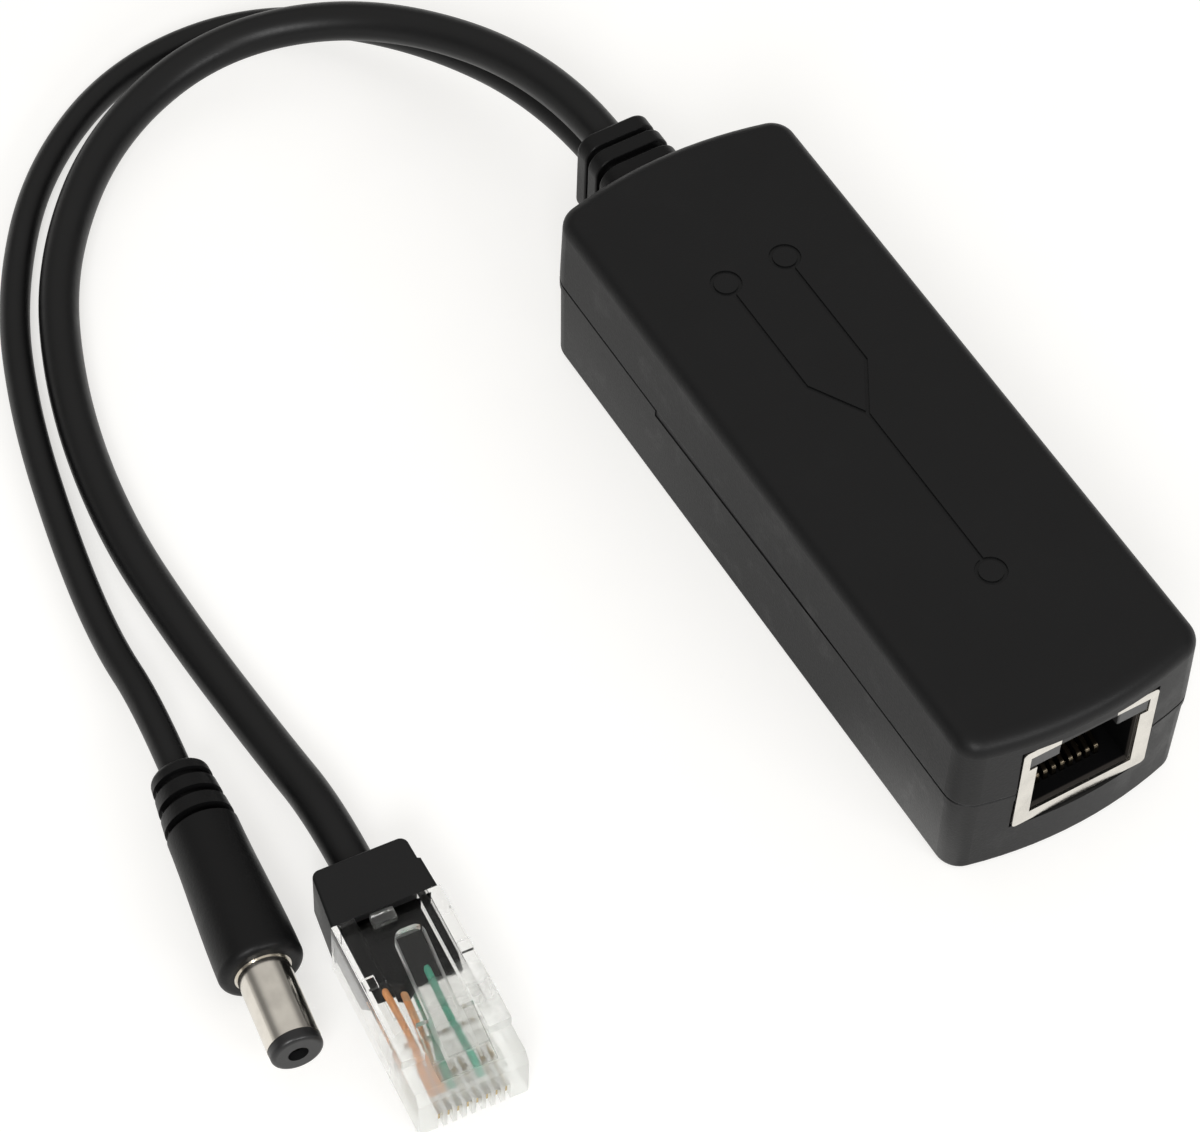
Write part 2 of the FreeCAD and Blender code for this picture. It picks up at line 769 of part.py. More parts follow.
def gull_package(center, size, lift, pitch, count, width):
    """A moulded package on the board with bent leads along its two long sides."""
    cx, cy = spot(center)
    sx, sy, sz = fitted(size)
    pitch *= fit_y
    width *= fit_y
    z0 = board_top + lift
    body = block(cx - sx / 2, cx + sx / 2, cy - sy / 2, cy + sy / 2, z0, z0 + sz)
    top = edges_where(body, lambda p: p.z > z0 + sz - 1e-6)
    body = body.makeChamfer(min(0.25, sz / 6), top)
    pieces = [body]
    for side in (-1, 1):
        for i in range(count):
            y = cy + (i - (count - 1) / 2) * pitch
            knee = z0 + min(0.45 * sz, 1.6)
            edge = cx + side * sx / 2
            out = side * (lead_reach - lead_foot)
            profile = [
                (edge - side * 0.2, y - width / 2, knee),
                (edge + out, y - width / 2, knee),
                (edge + out, y - width / 2, board_top + lead_sheet),
                (edge + side * lead_reach, y - width / 2, board_top + lead_sheet),
                (edge + side * lead_reach, y - width / 2, board_top),
                (edge + out - side * lead_sheet, y - width / 2, board_top),
                (edge + out - side * lead_sheet, y - width / 2, knee - lead_sheet),
                (edge - side * 0.2, y - width / 2, knee - lead_sheet),
            ]
            pieces.append(prism(profile, (0, width, 0)))
    return fuse_all(pieces)


def upright_capacitor(center, radius, height):
    """A can with a rolled groove near its foot, a crimped top and two leads through the board."""
    radius *= fit_round
    height *= fit_z
    low, high = cap_groove_z
    deep = cap_groove_depth
    roll = cap_roll_width
    profile = [(0, 0), (radius - deep, 0), (radius, deep), (radius, low - deep), (radius - deep, low),
               (radius - deep, high), (radius, high + deep), (radius, height - deep), (radius - deep, height),
               (radius - deep - roll, height), (radius - 1.2 * deep - roll, height - deep / 2),
               (0, height - deep / 2)]
    can = turned(profile)
    leads = []
    for s in (-1, 1):
        leads.append(Part.makeCylinder(cap_lead_r, cap_lead_length + cap_lead_r,
                                       V(0, s * cap_lead_space * fit_round / 2, -cap_lead_length)))
    can = fuse_all([can] + leads)
    x, y = spot(center)
    can.translate(V(x, y, board_top))
    return can


def core_sizes():
    """The power transformer's middle and its core's half width, half length and half height."""
    x, y = spot(core_center)
    z = board_top + flange_height * fit_z / 2
    return x, y, z, core_width * fit_x / 2, core_length * fit_y / 2, core_height * fit_z / 2


def power_core():
    """Two ferrite halves glued into one closed core with a middle leg."""
    x, y, z, half_w, half_l, half_h = core_sizes()
    whole = block(x - half_w, x + half_w, y - half_l, y + half_l, z - half_h, z + half_h)
    upright = [e for e in whole.Edges if abs(e.tangentAt(e.FirstParameter).z) > 0.9]
    whole = whole.makeFillet(0.5, upright)
    windows = []
    for side in (-1, 1):
        a = x + side * core_middle_width * fit_x / 2
        b = x + side * (half_w - core_leg * fit_x)
        windows.append(block(min(a, b), max(a, b), y - half_l + core_leg * fit_y, y + half_l - core_leg * fit_y,
                             z - 2 * half_h, z + 2 * half_h))
    return cut_all(whole, windows)


def bobbin_limits():
    """Half width, half height and half length of the bobbin's tube."""
    x, y, z, half_w, half_l, half_h = core_sizes()
    half_x = core_middle_width * fit_x / 2 + bobbin_gap + bobbin_wall
    half_z = half_h + bobbin_gap + bobbin_wall
    half_y = half_l - core_leg * fit_y - bobbin_gap
    return half_x, half_z, half_y


def core_pin_spots():
    """Where the transformer's pins go through the board."""
    x, y = core_sizes()[:2]
    reach = bobbin_limits()[2] + rail_length * fit_y / 2
    spots = []
    for side in (-1, 1):
        for i in range(core_pins):
            spots.append((x + (i - (core_pins - 1) / 2) * core_pin_pitch * fit_x, y + side * reach))
    return spots


def power_bobbin():
    """The plastic former: a tube on the middle leg, two flanges and two pin rails."""
    x, y, z, half_w, half_l, half_h = core_sizes()
    tx, tz, ty = bobbin_limits()
    flange_x = half_w - core_leg * fit_x - bobbin_gap
    flange_z = z - board_top
    rail_x = rail_width * fit_x / 2
    pieces = [block(x - tx, x + tx, y - ty, y + ty, z - tz, z + tz)]
    for side in (-1, 1):
        a = y + side * ty
        b = y + side * (ty - bobbin_flange)
        c = y + side * (ty + rail_length * fit_y)
        pieces.append(block(x - flange_x, x + flange_x, min(a, b), max(a, b), z - flange_z, z + flange_z))
        pieces.append(block(x - rail_x, x + rail_x, min(b, c), max(b, c), board_top, z - half_h - bobbin_gap))
    for px, py in core_pin_spots():
        pieces.append(Part.makeCylinder(core_pin_r, pin_length + core_pin_r, V(px, py, board_top - pin_length)))
    former = fuse_all(pieces)
    leg = core_middle_width * fit_x / 2 + bobbin_gap
    hole = block(x - leg, x + leg, y - 2 * half_l, y + 2 * half_l,
                 z - half_h - bobbin_gap, z + half_h + bobbin_gap)
    return former.cut(hole)


def power_winding():
    """The taped winding round the bobbin."""
    x, y, z, half_w, half_l, half_h = core_sizes()
    tx, tz, ty = bobbin_limits()
    tx += bobbin_gap / 2
    tz += bobbin_gap / 2
    end = ty - bobbin_flange - bobbin_gap / 2
    side = min(winding_side, half_w - core_leg * fit_x - bobbin_gap - tx)
    rise = z - board_top - tz - winding_foot_gap
    outer = round_bar(x - tx - side, x + tx + side, z - tz - rise, z + tz + rise,
                      winding_corner_r, y - end, y + end)
    inner = block(x - tx, x + tx, y - 2 * half_l, y + 2 * half_l, z - tz, z + tz)
    return outer.cut(inner)


def choke_core():
    """A ferrite drum with two flanges."""
    outer = choke_r * fit_round
    waist = choke_waist_r * fit_round
    high = choke_height * fit_z
    profile = [(0, 0), (outer, 0), (outer, choke_flange), (waist, choke_flange),
               (waist, high - choke_flange), (outer, high - choke_flange), (outer, high), (0, high)]
    drum = turned(profile)
    x, y = spot(choke_center)
    drum.translate(V(x, y, board_top))
    return drum


def choke_winding():
    """The wound ring between the drum's flanges."""
    low = choke_flange + fit_gap / 2
    high = choke_height * fit_z - choke_flange - fit_gap / 2
    inner = choke_waist_r * fit_round + fit_gap / 2
    outer = choke_r * fit_round - choke_winding_inset
    coil = turned([(inner, low), (outer, low), (outer, high), (inner, high)])
    x, y = spot(choke_center)
    coil.translate(V(x, y, board_top))
    return coil


def output_diode():
    """A flat rectifier block with a broad bent tab at each end."""
    cx, cy = spot(diode_center)
    sx, sy, sz = fitted(diode_size)
    z0 = board_top + body_lift
    end = sy / 2 - diode_tab_reach
    body = block(cx - sx / 2, cx + sx / 2, cy - end, cy + end, z0, z0 + sz)
    top = edges_where(body, lambda p: p.z > z0 + sz - 1e-6)
    pieces = [body.makeChamfer(sz / 8, top)]
    half = diode_tab_width * fit_x / 2
    for side in (-1, 1):
        a = cy + side * (end - diode_tab_reach / 5)
        b = cy + side * sy / 2
        pieces.append(block(cx - half, cx + half, min(a, b), max(a, b), board_top, z0 + sz / 2))
    return fuse_all(pieces)


def ceramic_capacitors():
    """Small two-ended chips."""
    chips = []
    sx, sy, sz = fitted(ceramic_size)
    for x, y in [spot(center) for center in ceramic_centers]:
        chips.append(block(x - sx / 2, x + sx / 2, y - sy / 2, y + sy / 2, board_top, board_top + sz))
    return Part.makeCompound(chips)


def lead_set(starts, pads, z, radius):
    """Insulated leads from the relief's inner face down to their pads on the board."""
    inner = relief_inner_face()
    leads = []
    for x0, (px, inset) in zip(starts, pads):
        px *= fit_x
        py = board_rear - inset
        lift = max((z - board_top) * lead_lift_share, lead_least_lift)
        points = [(x0, inner, z), (x0, inner - lead_straight, z),
                  (px, py, board_top + lift), (px, py, board_top)]
        leads.append(tube(points, radius))
    return Part.makeCompound(leads)


def relief_inner_face():
    """Where the inner face of the relief's flange lies along Y."""
    return relief_flange_rear() - relief_flange_thickness


def relief_flange_rear():
    """The flange's rear face, just clear of the bowed inside of the wall."""
    inner_bow = bow_radius - wall - draft * (body_height - parting_z)
    reach = relief_width / 2 + relief_flange_out
    return body_length / 2 - bow_radius + math.sqrt(inner_bow ** 2 - reach ** 2) - relief_wall_gap


def cable_grommet():
    """The moulded relief: a flange inside, a neck through the wall, and three ribs with two grooves."""
    rear = relief_rear
    edge_1, edge_2, edge_3, edge_4 = [body_length / 2 + reach for reach in relief_rib_edges]
    wall_face = body_length / 2 + relief_wall_gap
    rib_1 = relief_block(0, edge_1, rear)
    rib_1 = rib_1.makeFillet(relief_edge_r, edges_where(rib_1, lambda p: p.y > rear - 1e-6))
    rib_1 = rib_1.makeFillet(relief_rib_r, edges_where(rib_1, lambda p: p.y < edge_1 + 1e-6))
    rib_2 = relief_block(-relief_growth, edge_3, edge_2)
    rib_2 = rib_2.makeFillet(relief_rib_r, edges_where(rib_2, lambda p: abs(p.y - edge_2) < 1e-6))
    rib_2 = rib_2.makeFillet(relief_rib_r, edges_where(rib_2, lambda p: abs(p.y - edge_3) < 1e-6))
    rib_3 = relief_block(-2 * relief_growth, wall_face, edge_4)
    rib_3 = rib_3.makeFillet(relief_rib_r, edges_where(rib_3, lambda p: abs(p.y - edge_4) < 1e-6))
    waist = relief_block(relief_groove_depth, wall_face, edge_1 + relief_rib_r)
    flange_rear = relief_flange_rear()
    neck = relief_block(relief_neck_inset, flange_rear - relief_flange_thickness, wall_face + 1)
    flange = relief_block(-relief_flange_out, flange_rear - relief_flange_thickness, flange_rear)
    return fuse_all([rib_1, rib_2, rib_3, waist, neck, flange])


def on_plug(shape):
    """Lay a shape from the network plug's own frame where the plug lies on the table."""
    shape.Placement = FreeCAD.Placement(V(plug_nose[0], plug_nose[1], 0),
                                        FreeCAD.Rotation(Z_AXIS, plug_turn_deg)).multiply(shape.Placement)
    return shape


def plug_point(x, y, z):
    """A point of the network plug's own frame, on the table."""
    spot = FreeCAD.Rotation(Z_AXIS, plug_turn_deg).multVec(V(x, y, z))
    return spot + V(plug_nose[0], plug_nose[1], 0)


def latch_lever():
    """The sprung latch: broad to its shoulders, then a narrow round-ended tab, rising to the rear."""
    slope = (latch_end_top - latch_well_floor) / (latch_end_y - latch_root_y)
    down = latch_thickness * math.sqrt(1 + slope ** 2)
    root = plug_nose_height - latch_root_rise
    side = [(latch_root_y, root), (latch_root_y + latch_root_rise, plug_nose_height + latch_root_rise),
            (latch_end_y, latch_end_top), (latch_end_y, latch_end_top - down),
            (latch_root_y + latch_root_length + latch_root_rise, plug_nose_height),
            (latch_root_y + latch_root_length, root)]
    half = latch_root_width / 2
    rising = prism([(-half, y, z) for y, z in side], (latch_root_width, 0, 0))
    tab = latch_tab_width / 2
    high = latch_end_top + 1
    plan = fuse_all([
        block(-half, half, 0, latch_shoulder_y, 0, high),
        block(-tab, tab, 0, latch_end_y, 0, high),
    ])
    tip = [e for e in plan.Edges if abs(e.tangentAt(e.FirstParameter).z) > 0.9
           and abs(e.Vertexes[0].Y - latch_end_y) < 1e-6]
    plan = plan.makeFillet(latch_tab_r, tip)
    return rising.common(plan)


def plug_body():
    """The clear plug: a stepped block with a wire cavity, eight blade slots, a latch well and a latch."""
    half = plug_width / 2
    cut_y, cut_z = plug_nose_chamfer
    side = [(0, 0), (plug_skin_length, 0), (plug_skin_length, plug_rear_height),
            (plug_step_y, plug_rear_height), (plug_step_y, plug_nose_height),
            (cut_y, plug_nose_height), (0, plug_nose_height - cut_z)]
    body = prism([(-half, y, z) for y, z in side], (plug_width, 0, 0))
    flanks = [e for e in body.Edges if abs(e.Vertexes[0].X - e.Vertexes[1].X) < 1e-6
              and max(v.Y for v in e.Vertexes) < plug_skin_length + 1e-6
              and min(v.Y for v in e.Vertexes) < plug_skin_length - 1e-6]
    body = body.makeFillet(plug_edge_r, flanks)
    tail = block(-half + plug_tail_inset, half - plug_tail_inset, plug_skin_length - 1, plug_length,
                 plug_tail_inset, plug_rear_height - plug_tail_inset)
    body = fuse_all([body, tail])
    well = latch_well_width / 2
    cavity = plug_cavity_width / 2
    channel = channel_width / 2
    tools = [
        block(-well, well, plug_step_y - 0.1, plug_length + 1, latch_well_floor, plug_rear_height + 1),
        block(-cavity, cavity, plug_cavity_front, plug_length + 1, plug_floor, plug_cavity_top),
        block(-channel, channel, channel_front, plug_cavity_front + 0.1, channel_bottom, channel_top),
        block(-crimp_recess[0] / 2, crimp_recess[0] / 2, crimp_recess_y, crimp_recess_y + crimp_recess[1],
              -1, crimp_recess[2]),
    ]
    for i in range(contact_count):
        x = contact_x(i)
        tools.append(block(x - blade_slot / 2, x + blade_slot / 2, -1, blade_slot_length, -1, blade_slot_height))
    body = cut_all(body, tools)
    ears = []
    for side in (-1, 1):
        x = side * (plug_width / 2 - ear_size / 2 - 0.15)
        ears.append(block(x - ear_size / 2, x + ear_size / 2, ear_y, ear_y + ear_size,
                          plug_rear_height - 0.2, plug_rear_height + ear_height))
    return on_plug(fuse_all([body, latch_lever()] + ears))


def plug_contacts():
    """Eight upright blades, each with a rounded front corner and two piercing teeth."""
    blades = []
    for i in range(contact_count):
        x = contact_x(i) - blade_thickness / 2
        y0 = blade_start
        y1 = y0 + blade_length
        z0 = blade_lift
        z1 = z0 + blade_height
        r = blade_corner_r
        shelf = z1 - blade_tooth_height
        outline = [(y0, z0 + r), (y0 + 0.3 * r, z0 + 0.3 * r), (y0 + r, z0), (y1, z0), (y1, shelf)]
        for inset in blade_teeth:
            tip = y1 - inset
            outline += [(tip + blade_tooth_half, shelf), (tip, z1), (tip - blade_tooth_half, shelf)]
        outline.append((y0, shelf))
        blades.append(prism([(x, y, z) for y, z in outline], (blade_thickness, 0, 0)))
    return on_plug(Part.makeCompound(blades))


def plug_filler():
    """The black core inside the plug's rear half, with a low tongue that ends unevenly."""
    half = plug_cavity_width / 2 - filler_gap
    low = plug_floor + filler_gap
    high = plug_cavity_top - filler_gap
    block_rear = block(-half, half, filler_step_y, plug_length - filler_gap, low, high)
    edge = []
    steps = len(filler_front)
    for i, y in enumerate(filler_front):
        edge.append((-half + 2 * half * i / (steps - 1), y, low))
    outline = edge + [(half, filler_step_y + 0.5, low), (-half, filler_step_y + 0.5, low)]
    tongue = prism(outline, (0, 0, filler_tongue_top - low))
    return on_plug(fuse_all([block_rear, tongue]))


def plug_wire(colour):
    """One insulated wire from the filler's step to its slot in the nose."""
    end_x = contact_x(wire_pins[colour])
    points = [(wire_starts[colour], filler_step_y - wire_start_gap, wire_start_z),
              (wire_passes[colour], wire_pass_y, wire_pass_z),
              (end_x, wire_flat_y, wire_end_z),
              (end_x + 0.01, wire_end_y, wire_end_z)]
    return on_plug(tube(points, wire_r))


def plug_boot():
    """The moulded boot: a tapered block with one stepped side, hollowed to take the plug's tail."""
    body = prism([(x, y, boot_bottom) for x, y in boot_outline], (0, 0, boot_top - boot_bottom))
    corners = [e for e in body.Edges if abs(e.Vertexes[0].Z - e.Vertexes[1].Z) > 1
               and e.Vertexes[0].Y > boot_rear_y - 1e-6]
    body = body.makeFillet(boot_corner_r, corners)
    rear = boot_rear_y - boot_corner_r - 1e-6
    heel = edges_where(body, lambda p: p.y > rear and p.z < boot_bottom + 1e-6)
    body = body.makeFillet(boot_heel_r, [e for e in heel if e.BoundBox.YMin > boot_rear_y - 1e-3])
    crown = edges_where(body, lambda p: p.z > boot_top - 1e-6)
    body = body.makeFillet(boot_edge_r, [e for e in crown if e.BoundBox.YMax > plug_skin_length + 1])
    half = plug_width / 2 - plug_tail_inset + 2 * boot_gap
    pocket = block(-half, half, plug_skin_length - 1, plug_length + 2 * boot_gap,
                   plug_tail_inset - 2 * boot_gap, plug_rear_height - plug_tail_inset + 2 * boot_gap)
    return on_plug(body.cut(pocket))


def on_power_plug(shape):
    """Lay a shape, made along plus Z from the cord to the tip, on the power plug's axis."""
    turn = FreeCAD.Rotation(V(0, 0, 1), power_axis())
    shape.Placement = FreeCAD.Placement(V(*power_plug_start), turn).multiply(shape.Placement)
    return shape


def power_axis():
    """Direction from the cord to the tip of the power plug."""
    turn = math.radians(power_plug_turn_deg)
    rise = math.radians(power_plug_rise_deg)
    return V(-math.sin(turn) * math.cos(rise), -math.cos(turn) * math.cos(rise), math.sin(rise))


def power_grip():
    """The moulded handle, with three ribs, their slots, a slim waist and a round front rim."""
    r0 = grip_start_r
    e0 = grip_rear_edge_r
    e1 = grip_front_edge_r
    front = grip_length
    start = grip_slots[-1][1]
    path = [Part.LineSegment(V(0, 0, 0), V(r0 - e0, 0, 0)).toShape(),
            Part.Arc(V(r0 - e0, 0, 0), V(r0 - e0 * 0.293, 0, e0 * 0.293), V(r0, 0, e0)).toShape(),
            Part.LineSegment(V(r0, 0, e0), V(grip_relief_r, 0, start)).toShape()]
    curve = Part.BSplineCurve()
    curve.interpolate([V(grip_relief_r, 0, start), V(grip_waist_r, 0, grip_waist_at),
                       V(grip_front_r - 0.12, 0, grip_swell_at), V(grip_front_r, 0, front - e1)])
    path.append(curve.toShape())
    path.append(Part.Arc(V(grip_front_r, 0, front - e1),
                         V(grip_front_r - e1 * 0.293, 0, front - e1 * 0.293),
                         V(grip_front_r - e1, 0, front)).toShape())
    path.append(Part.LineSegment(V(grip_front_r - e1, 0, front), V(0, 0, front)).toShape())
    path.append(Part.LineSegment(V(0, 0, front), V(0, 0, 0)).toShape())
    grip = Part.Face(Part.Wire(path)).revolve(V(0, 0, 0), Z_AXIS, 360)
    tools = []
    for a, b in grip_slots:
        ring = Part.makeCylinder(2 * grip_front_r, b - a, V(0, 0, a))
        ring = ring.cut(Part.makeCylinder(grip_slot_r, b - a, V(0, 0, a)))
        bridge = block(-2 * grip_front_r, 2 * grip_front_r, -grip_bridge_width / 2, grip_bridge_width / 2, a, b)
        shallow = Part.makeCylinder(2 * grip_front_r, b - a, V(0, 0, a))
        depth = grip_start_r + (grip_relief_r - grip_start_r) * a / start - 0.3
        shallow = shallow.cut(Part.makeCylinder(depth, b - a, V(0, 0, a)))
        tools.append(ring.cut(bridge))
        tools.append(shallow)
    grip = cut_all(grip, tools)
    socket_r = barrel_r + barrel_collar + plug_part_gap
    socket = Part.makeCylinder(socket_r, barrel_inside, V(0, 0, front - barrel_inside))
    return on_power_plug(turn_bridges_level(grip.cut(socket)))


def turn_bridges_level(shape):
    """Turn the handle about its own axis so that the solid bridges of its slots lie at the sides."""
    axis = power_axis()
    flat = FreeCAD.Rotation(V(0, 0, 1), axis).multVec(X_AXIS)
    side = V(axis.y, -axis.x, 0).normalize()
    angle = math.degrees(flat.getAngle(side))
    if flat.cross(side).dot(axis) < 0:
        angle = -angle
    shape.rotate(V(0, 0, 0), Z_AXIS, angle)
    return shape


def power_barrel():
    """The plated sleeve of the power plug, with a collar where the handle is moulded round it."""
    z0 = grip_length - barrel_inside + 2 * plug_part_gap
    z1 = grip_length + barrel_reach - tip_length
    sleeve = Part.makeCylinder(barrel_r, z1 - z0, V(0, 0, z0))
    collar = Part.makeCylinder(barrel_r + barrel_collar, grip_length - z0, V(0, 0, z0))
    inner = Part.makeCylinder(barrel_r - barrel_wall, z1 - z0, V(0, 0, z0))
    return on_power_plug(sleeve.fuse(collar).cut(inner))


def power_insulator():
    """The black liner of the sleeve, with the rounded ring that shows at its tip."""
    z0 = grip_length - barrel_inside + 2 * plug_part_gap
    z1 = grip_length + barrel_reach - tip_length
    z2 = grip_length + barrel_reach
    liner = Part.makeCylinder(barrel_r - barrel_wall - plug_part_gap, z2 - z0 - tip_edge_r, V(0, 0, z0))
    ring = Part.makeCylinder(tip_r, z2 - z1 - plug_part_gap, V(0, 0, z1 + plug_part_gap))
    rim = [e for e in ring.Edges if all(abs(v.Z - z2) < 1e-6 for v in e.Vertexes)]
    ring = ring.makeFillet(tip_edge_r, rim)
    tube_r = bore_r + contact_tube_wall + plug_part_gap
    bore = Part.makeCylinder(tube_r, z2 - contact_tube_recess - z0, V(0, 0, z0))
    mouth = Part.makeCylinder(bore_r, z2 - z0 + 1, V(0, 0, z0))
    return on_power_plug(cut_all(fuse_all([liner, ring]), [bore, mouth]))


def power_contact():
    """The inner tube that the jack's pin enters."""
    z0 = grip_length - barrel_inside + 2 * plug_part_gap
    z1 = grip_length + barrel_reach - contact_tube_recess - plug_part_gap
    outer = Part.makeCylinder(bore_r + contact_tube_wall, z1 - z0, V(0, 0, z0))
    return on_power_plug(outer.cut(Part.makeCylinder(bore_r, z1 - z0, V(0, 0, z0))))


def board_holes():
    """Every round hole in the board: posts, jack pegs and tails, transformer pins and capacitor leads."""
    holes = []
    for sx in (-1, 1):
        for y in post_rows:
            holes.append((sx * post_x, y, locating_pin_r + fit_gap))
        holes.append((sx * peg_x, jack_front + peg_depth, peg_r + tail_gap))
    for i in range(contact_count):
        holes.append((contact_x(i), jack_front + contact_tail(i), contact_width / 2 + tail_gap))
    for x, y in core_pin_spots():
        holes.append((x, y, core_pin_r + tail_gap))
    for x, y in (spot(input_cap_center), spot(output_cap_center)):
        for s in (-1, 1):
            holes.append((x, y + s * cap_lead_space * fit_round / 2, cap_lead_r + tail_gap))
    return holes


save("bottom_case", bottom_case())
save("top_cover", top_cover())
save("circuit_board", circuit_board(board_holes()))
save("jack_shield", jack_shield())
save("jack_insert", jack_insert())
save("jack_contacts", jack_contacts())
save("jack_led_left", jack_led(-1))
save("jack_led_right", jack_led(1))
save("lan_transformer", gull_package(lan_center, lan_size, body_lift, lan_pitch, lan_lead_count, lead_width))
rectifiers = [gull_package(c, rectifier_size, body_lift, rectifier_pitch, 2, 2 * lead_width)
              for c in rectifier_centers]
save("bridge_rectifiers", Part.makeCompound(rectifiers))
save("controller_chip", gull_package(chip_center, chip_size, body_lift, lan_pitch, 4, lead_width))
save("optocoupler", gull_package(coupler_center, coupler_size, body_lift, coupler_pitch, 2, 2 * lead_width))
save("ceramic_capacitors", ceramic_capacitors())
save("input_capacitor", upright_capacitor(input_cap_center, input_cap_r, input_cap_height))
save("output_capacitor", upright_capacitor(output_cap_center, output_cap_r, output_cap_height))
save("output_diode", output_diode())
save("transformer_core", power_core())
save("transformer_bobbin", power_bobbin())
save("transformer_winding", power_winding())
save("choke_core", choke_core())
save("choke_winding", choke_winding())
data_starts = [(i - 1.5) * data_lead_space for i in range(4)]
power_starts = [(i - 0.5) * power_lead_space for i in range(2)]
save("data_leads", lead_set(data_starts, data_pads, data_exit_z, data_lead_r))
save("power_leads", lead_set(power_starts, power_pads, power_exit_z, power_lead_r))
save("cable_grommet", cable_grommet())

entry_z = (boot_top + boot_bottom) / 2
data_ends = [plug_point(0, boot_rear_y + data_last_run, entry_z), plug_point(0, boot_rear_y, entry_z)]
data_points = [(0.0, relief_rear, data_exit_z)] + data_route + [(p.x, p.y, p.z) for p in data_ends]
save("data_cord", tube(data_points, data_cord_r, None, "data_cord"))
power_end = V(*power_plug_start)
before_end = power_end - power_axis() * power_last_run
power_points = [(0.0, relief_rear, power_exit_z)] + power_route
power_points += [(before_end.x, before_end.y, before_end.z), power_plug_start]
save("power_cord", tube(power_points, power_cord_r, None, "power_cord"))

save("plug_boot", plug_boot())
save("plug_body", plug_body())
save("plug_contacts", plug_contacts())
save("plug_filler", plug_filler())
for colour in wire_pins:
    save(f"plug_wire_{colour}", plug_wire(colour))
save("power_grip", power_grip())
save("power_barrel", power_barrel())
save("power_insulator", power_insulator())
save("power_contact", power_contact())
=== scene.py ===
# %% [markdown]
# # A network power splitter
#
# A small black housing with a shielded network jack at its front. Two cords leave its rear end through
# one ribbed relief: a thicker one ends in a clear network plug, a thinner one in a round power plug.
#
# The imported model of the splitter is loaded first, as a fixed frame. Every piece made here is in metres
# and lies where the frame says.

# %% Frame
import math

import bpy
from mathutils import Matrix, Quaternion, Vector


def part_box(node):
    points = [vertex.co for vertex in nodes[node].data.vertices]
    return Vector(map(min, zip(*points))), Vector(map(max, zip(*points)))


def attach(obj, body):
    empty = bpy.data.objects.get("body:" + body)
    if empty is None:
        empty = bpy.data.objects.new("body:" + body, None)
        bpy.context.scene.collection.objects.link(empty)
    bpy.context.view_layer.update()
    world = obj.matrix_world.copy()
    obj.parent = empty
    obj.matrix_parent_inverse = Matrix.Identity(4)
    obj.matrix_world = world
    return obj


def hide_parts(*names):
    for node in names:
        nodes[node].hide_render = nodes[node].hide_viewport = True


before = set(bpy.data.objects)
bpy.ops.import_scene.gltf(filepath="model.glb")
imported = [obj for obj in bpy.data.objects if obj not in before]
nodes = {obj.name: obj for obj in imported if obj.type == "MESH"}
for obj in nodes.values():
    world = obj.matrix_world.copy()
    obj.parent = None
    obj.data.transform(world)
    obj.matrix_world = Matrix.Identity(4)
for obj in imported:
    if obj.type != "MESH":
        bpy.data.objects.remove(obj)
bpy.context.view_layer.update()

mm = 0.001
bpy.context.scene.view_settings.view_transform = "Standard"

# %% [markdown]
# ## The camera
#
# The splitter was photographed from above with a long lens, so its edges hardly converge. A camera could
# be aimed with a constraint, but one place, one point to look at and a small roll say the same thing
# in three values that are easy to change.

# %% Camera
camera_place = Vector((-172.64, -217.32, 382.15)) * mm
camera_target = Vector((-28.97, 4.37, 11.0)) * mm
camera_roll = math.radians(2.576)
camera_lens = 134.41

bpy.ops.object.camera_add(location=camera_place)
camera = bpy.context.object
camera.name = "camera"
looking = (camera_target - camera_place).to_track_quat("-Z", "Y")
camera.rotation_euler = (looking @ Quaternion((0, 0, 1), camera_roll)).to_euler()
camera.data.lens = camera_lens
camera.data.sensor_width = 36.0
camera.data.clip_start = 0.01
bpy.context.scene.camera = camera
print("camera is", round((camera_target - camera_place).length, 3), "m away")

# %% [markdown]
# ## The cords
#
# Both cords are round, soft and freely laid. A cord could be a swept mesh, but a NURBS curve with a round
# bevel keeps one smooth line through a few route points, the way a real cord takes up its bends.
# The route points are those of the model's own tubes. Each cord leaves the relief straight, comes down
# to the table and swings round to its plug. The spline's order and end setting come after its points,
# because set before, they leave it straight between the points. The bevel is one metre deep and each
# point scales it down to the cord's radius, which keeps the box round the curve true.

# %% Cord maker
def lay_cord(name, route, thickness, around=8, along=20):
    """A round cord on one smooth line. Route points are in millimetres."""
    line = bpy.data.curves.new(name, "CURVE")
    line.dimensions = "3D"
    spline = line.splines.new("NURBS")
    spline.points.add(len(route) - 1)
    for point, (x, y, z) in zip(spline.points, route):
        point.co = (x * mm, y * mm, z * mm, 1.0)
        point.radius = thickness / 2 * mm
    spline.order_u = 3
    spline.use_endpoint_u = True
    spline.resolution_u = along
    line.bevel_depth = 1.0
    line.bevel_resolution = around
    line.use_fill_caps = True
    cord = bpy.data.objects.new(name, line)
    bpy.context.scene.collection.objects.link(cord)
    return cord


# %% Data cord
data_thickness = 4.4
data_exit = (0.0, 50.8, 12.9)
data_route = [
    data_exit,
    (0.0, 63.0, 12.9),
    (-10.5, 82.5, 9.4),
    (-26.5, 91.0, 6.2),
    (-43.5, 86.5, 4.2),
    (-56.5, 73.5, 3.0),
    (-63.5, 57.5, 2.4),
    (-67.0, 40.0, 2.25),
    (-67.0, 23.5, 2.25),
    (-66.0, 6.5, 2.7),
    (-65.434, -3.772, 4.05),
    (-66.095, -11.645, 4.05),
]
data_cord = lay_cord("data_line", data_route, data_thickness)
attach(data_cord, "root")
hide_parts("data_cord")
print("data cord has", len(data_route), "route points")

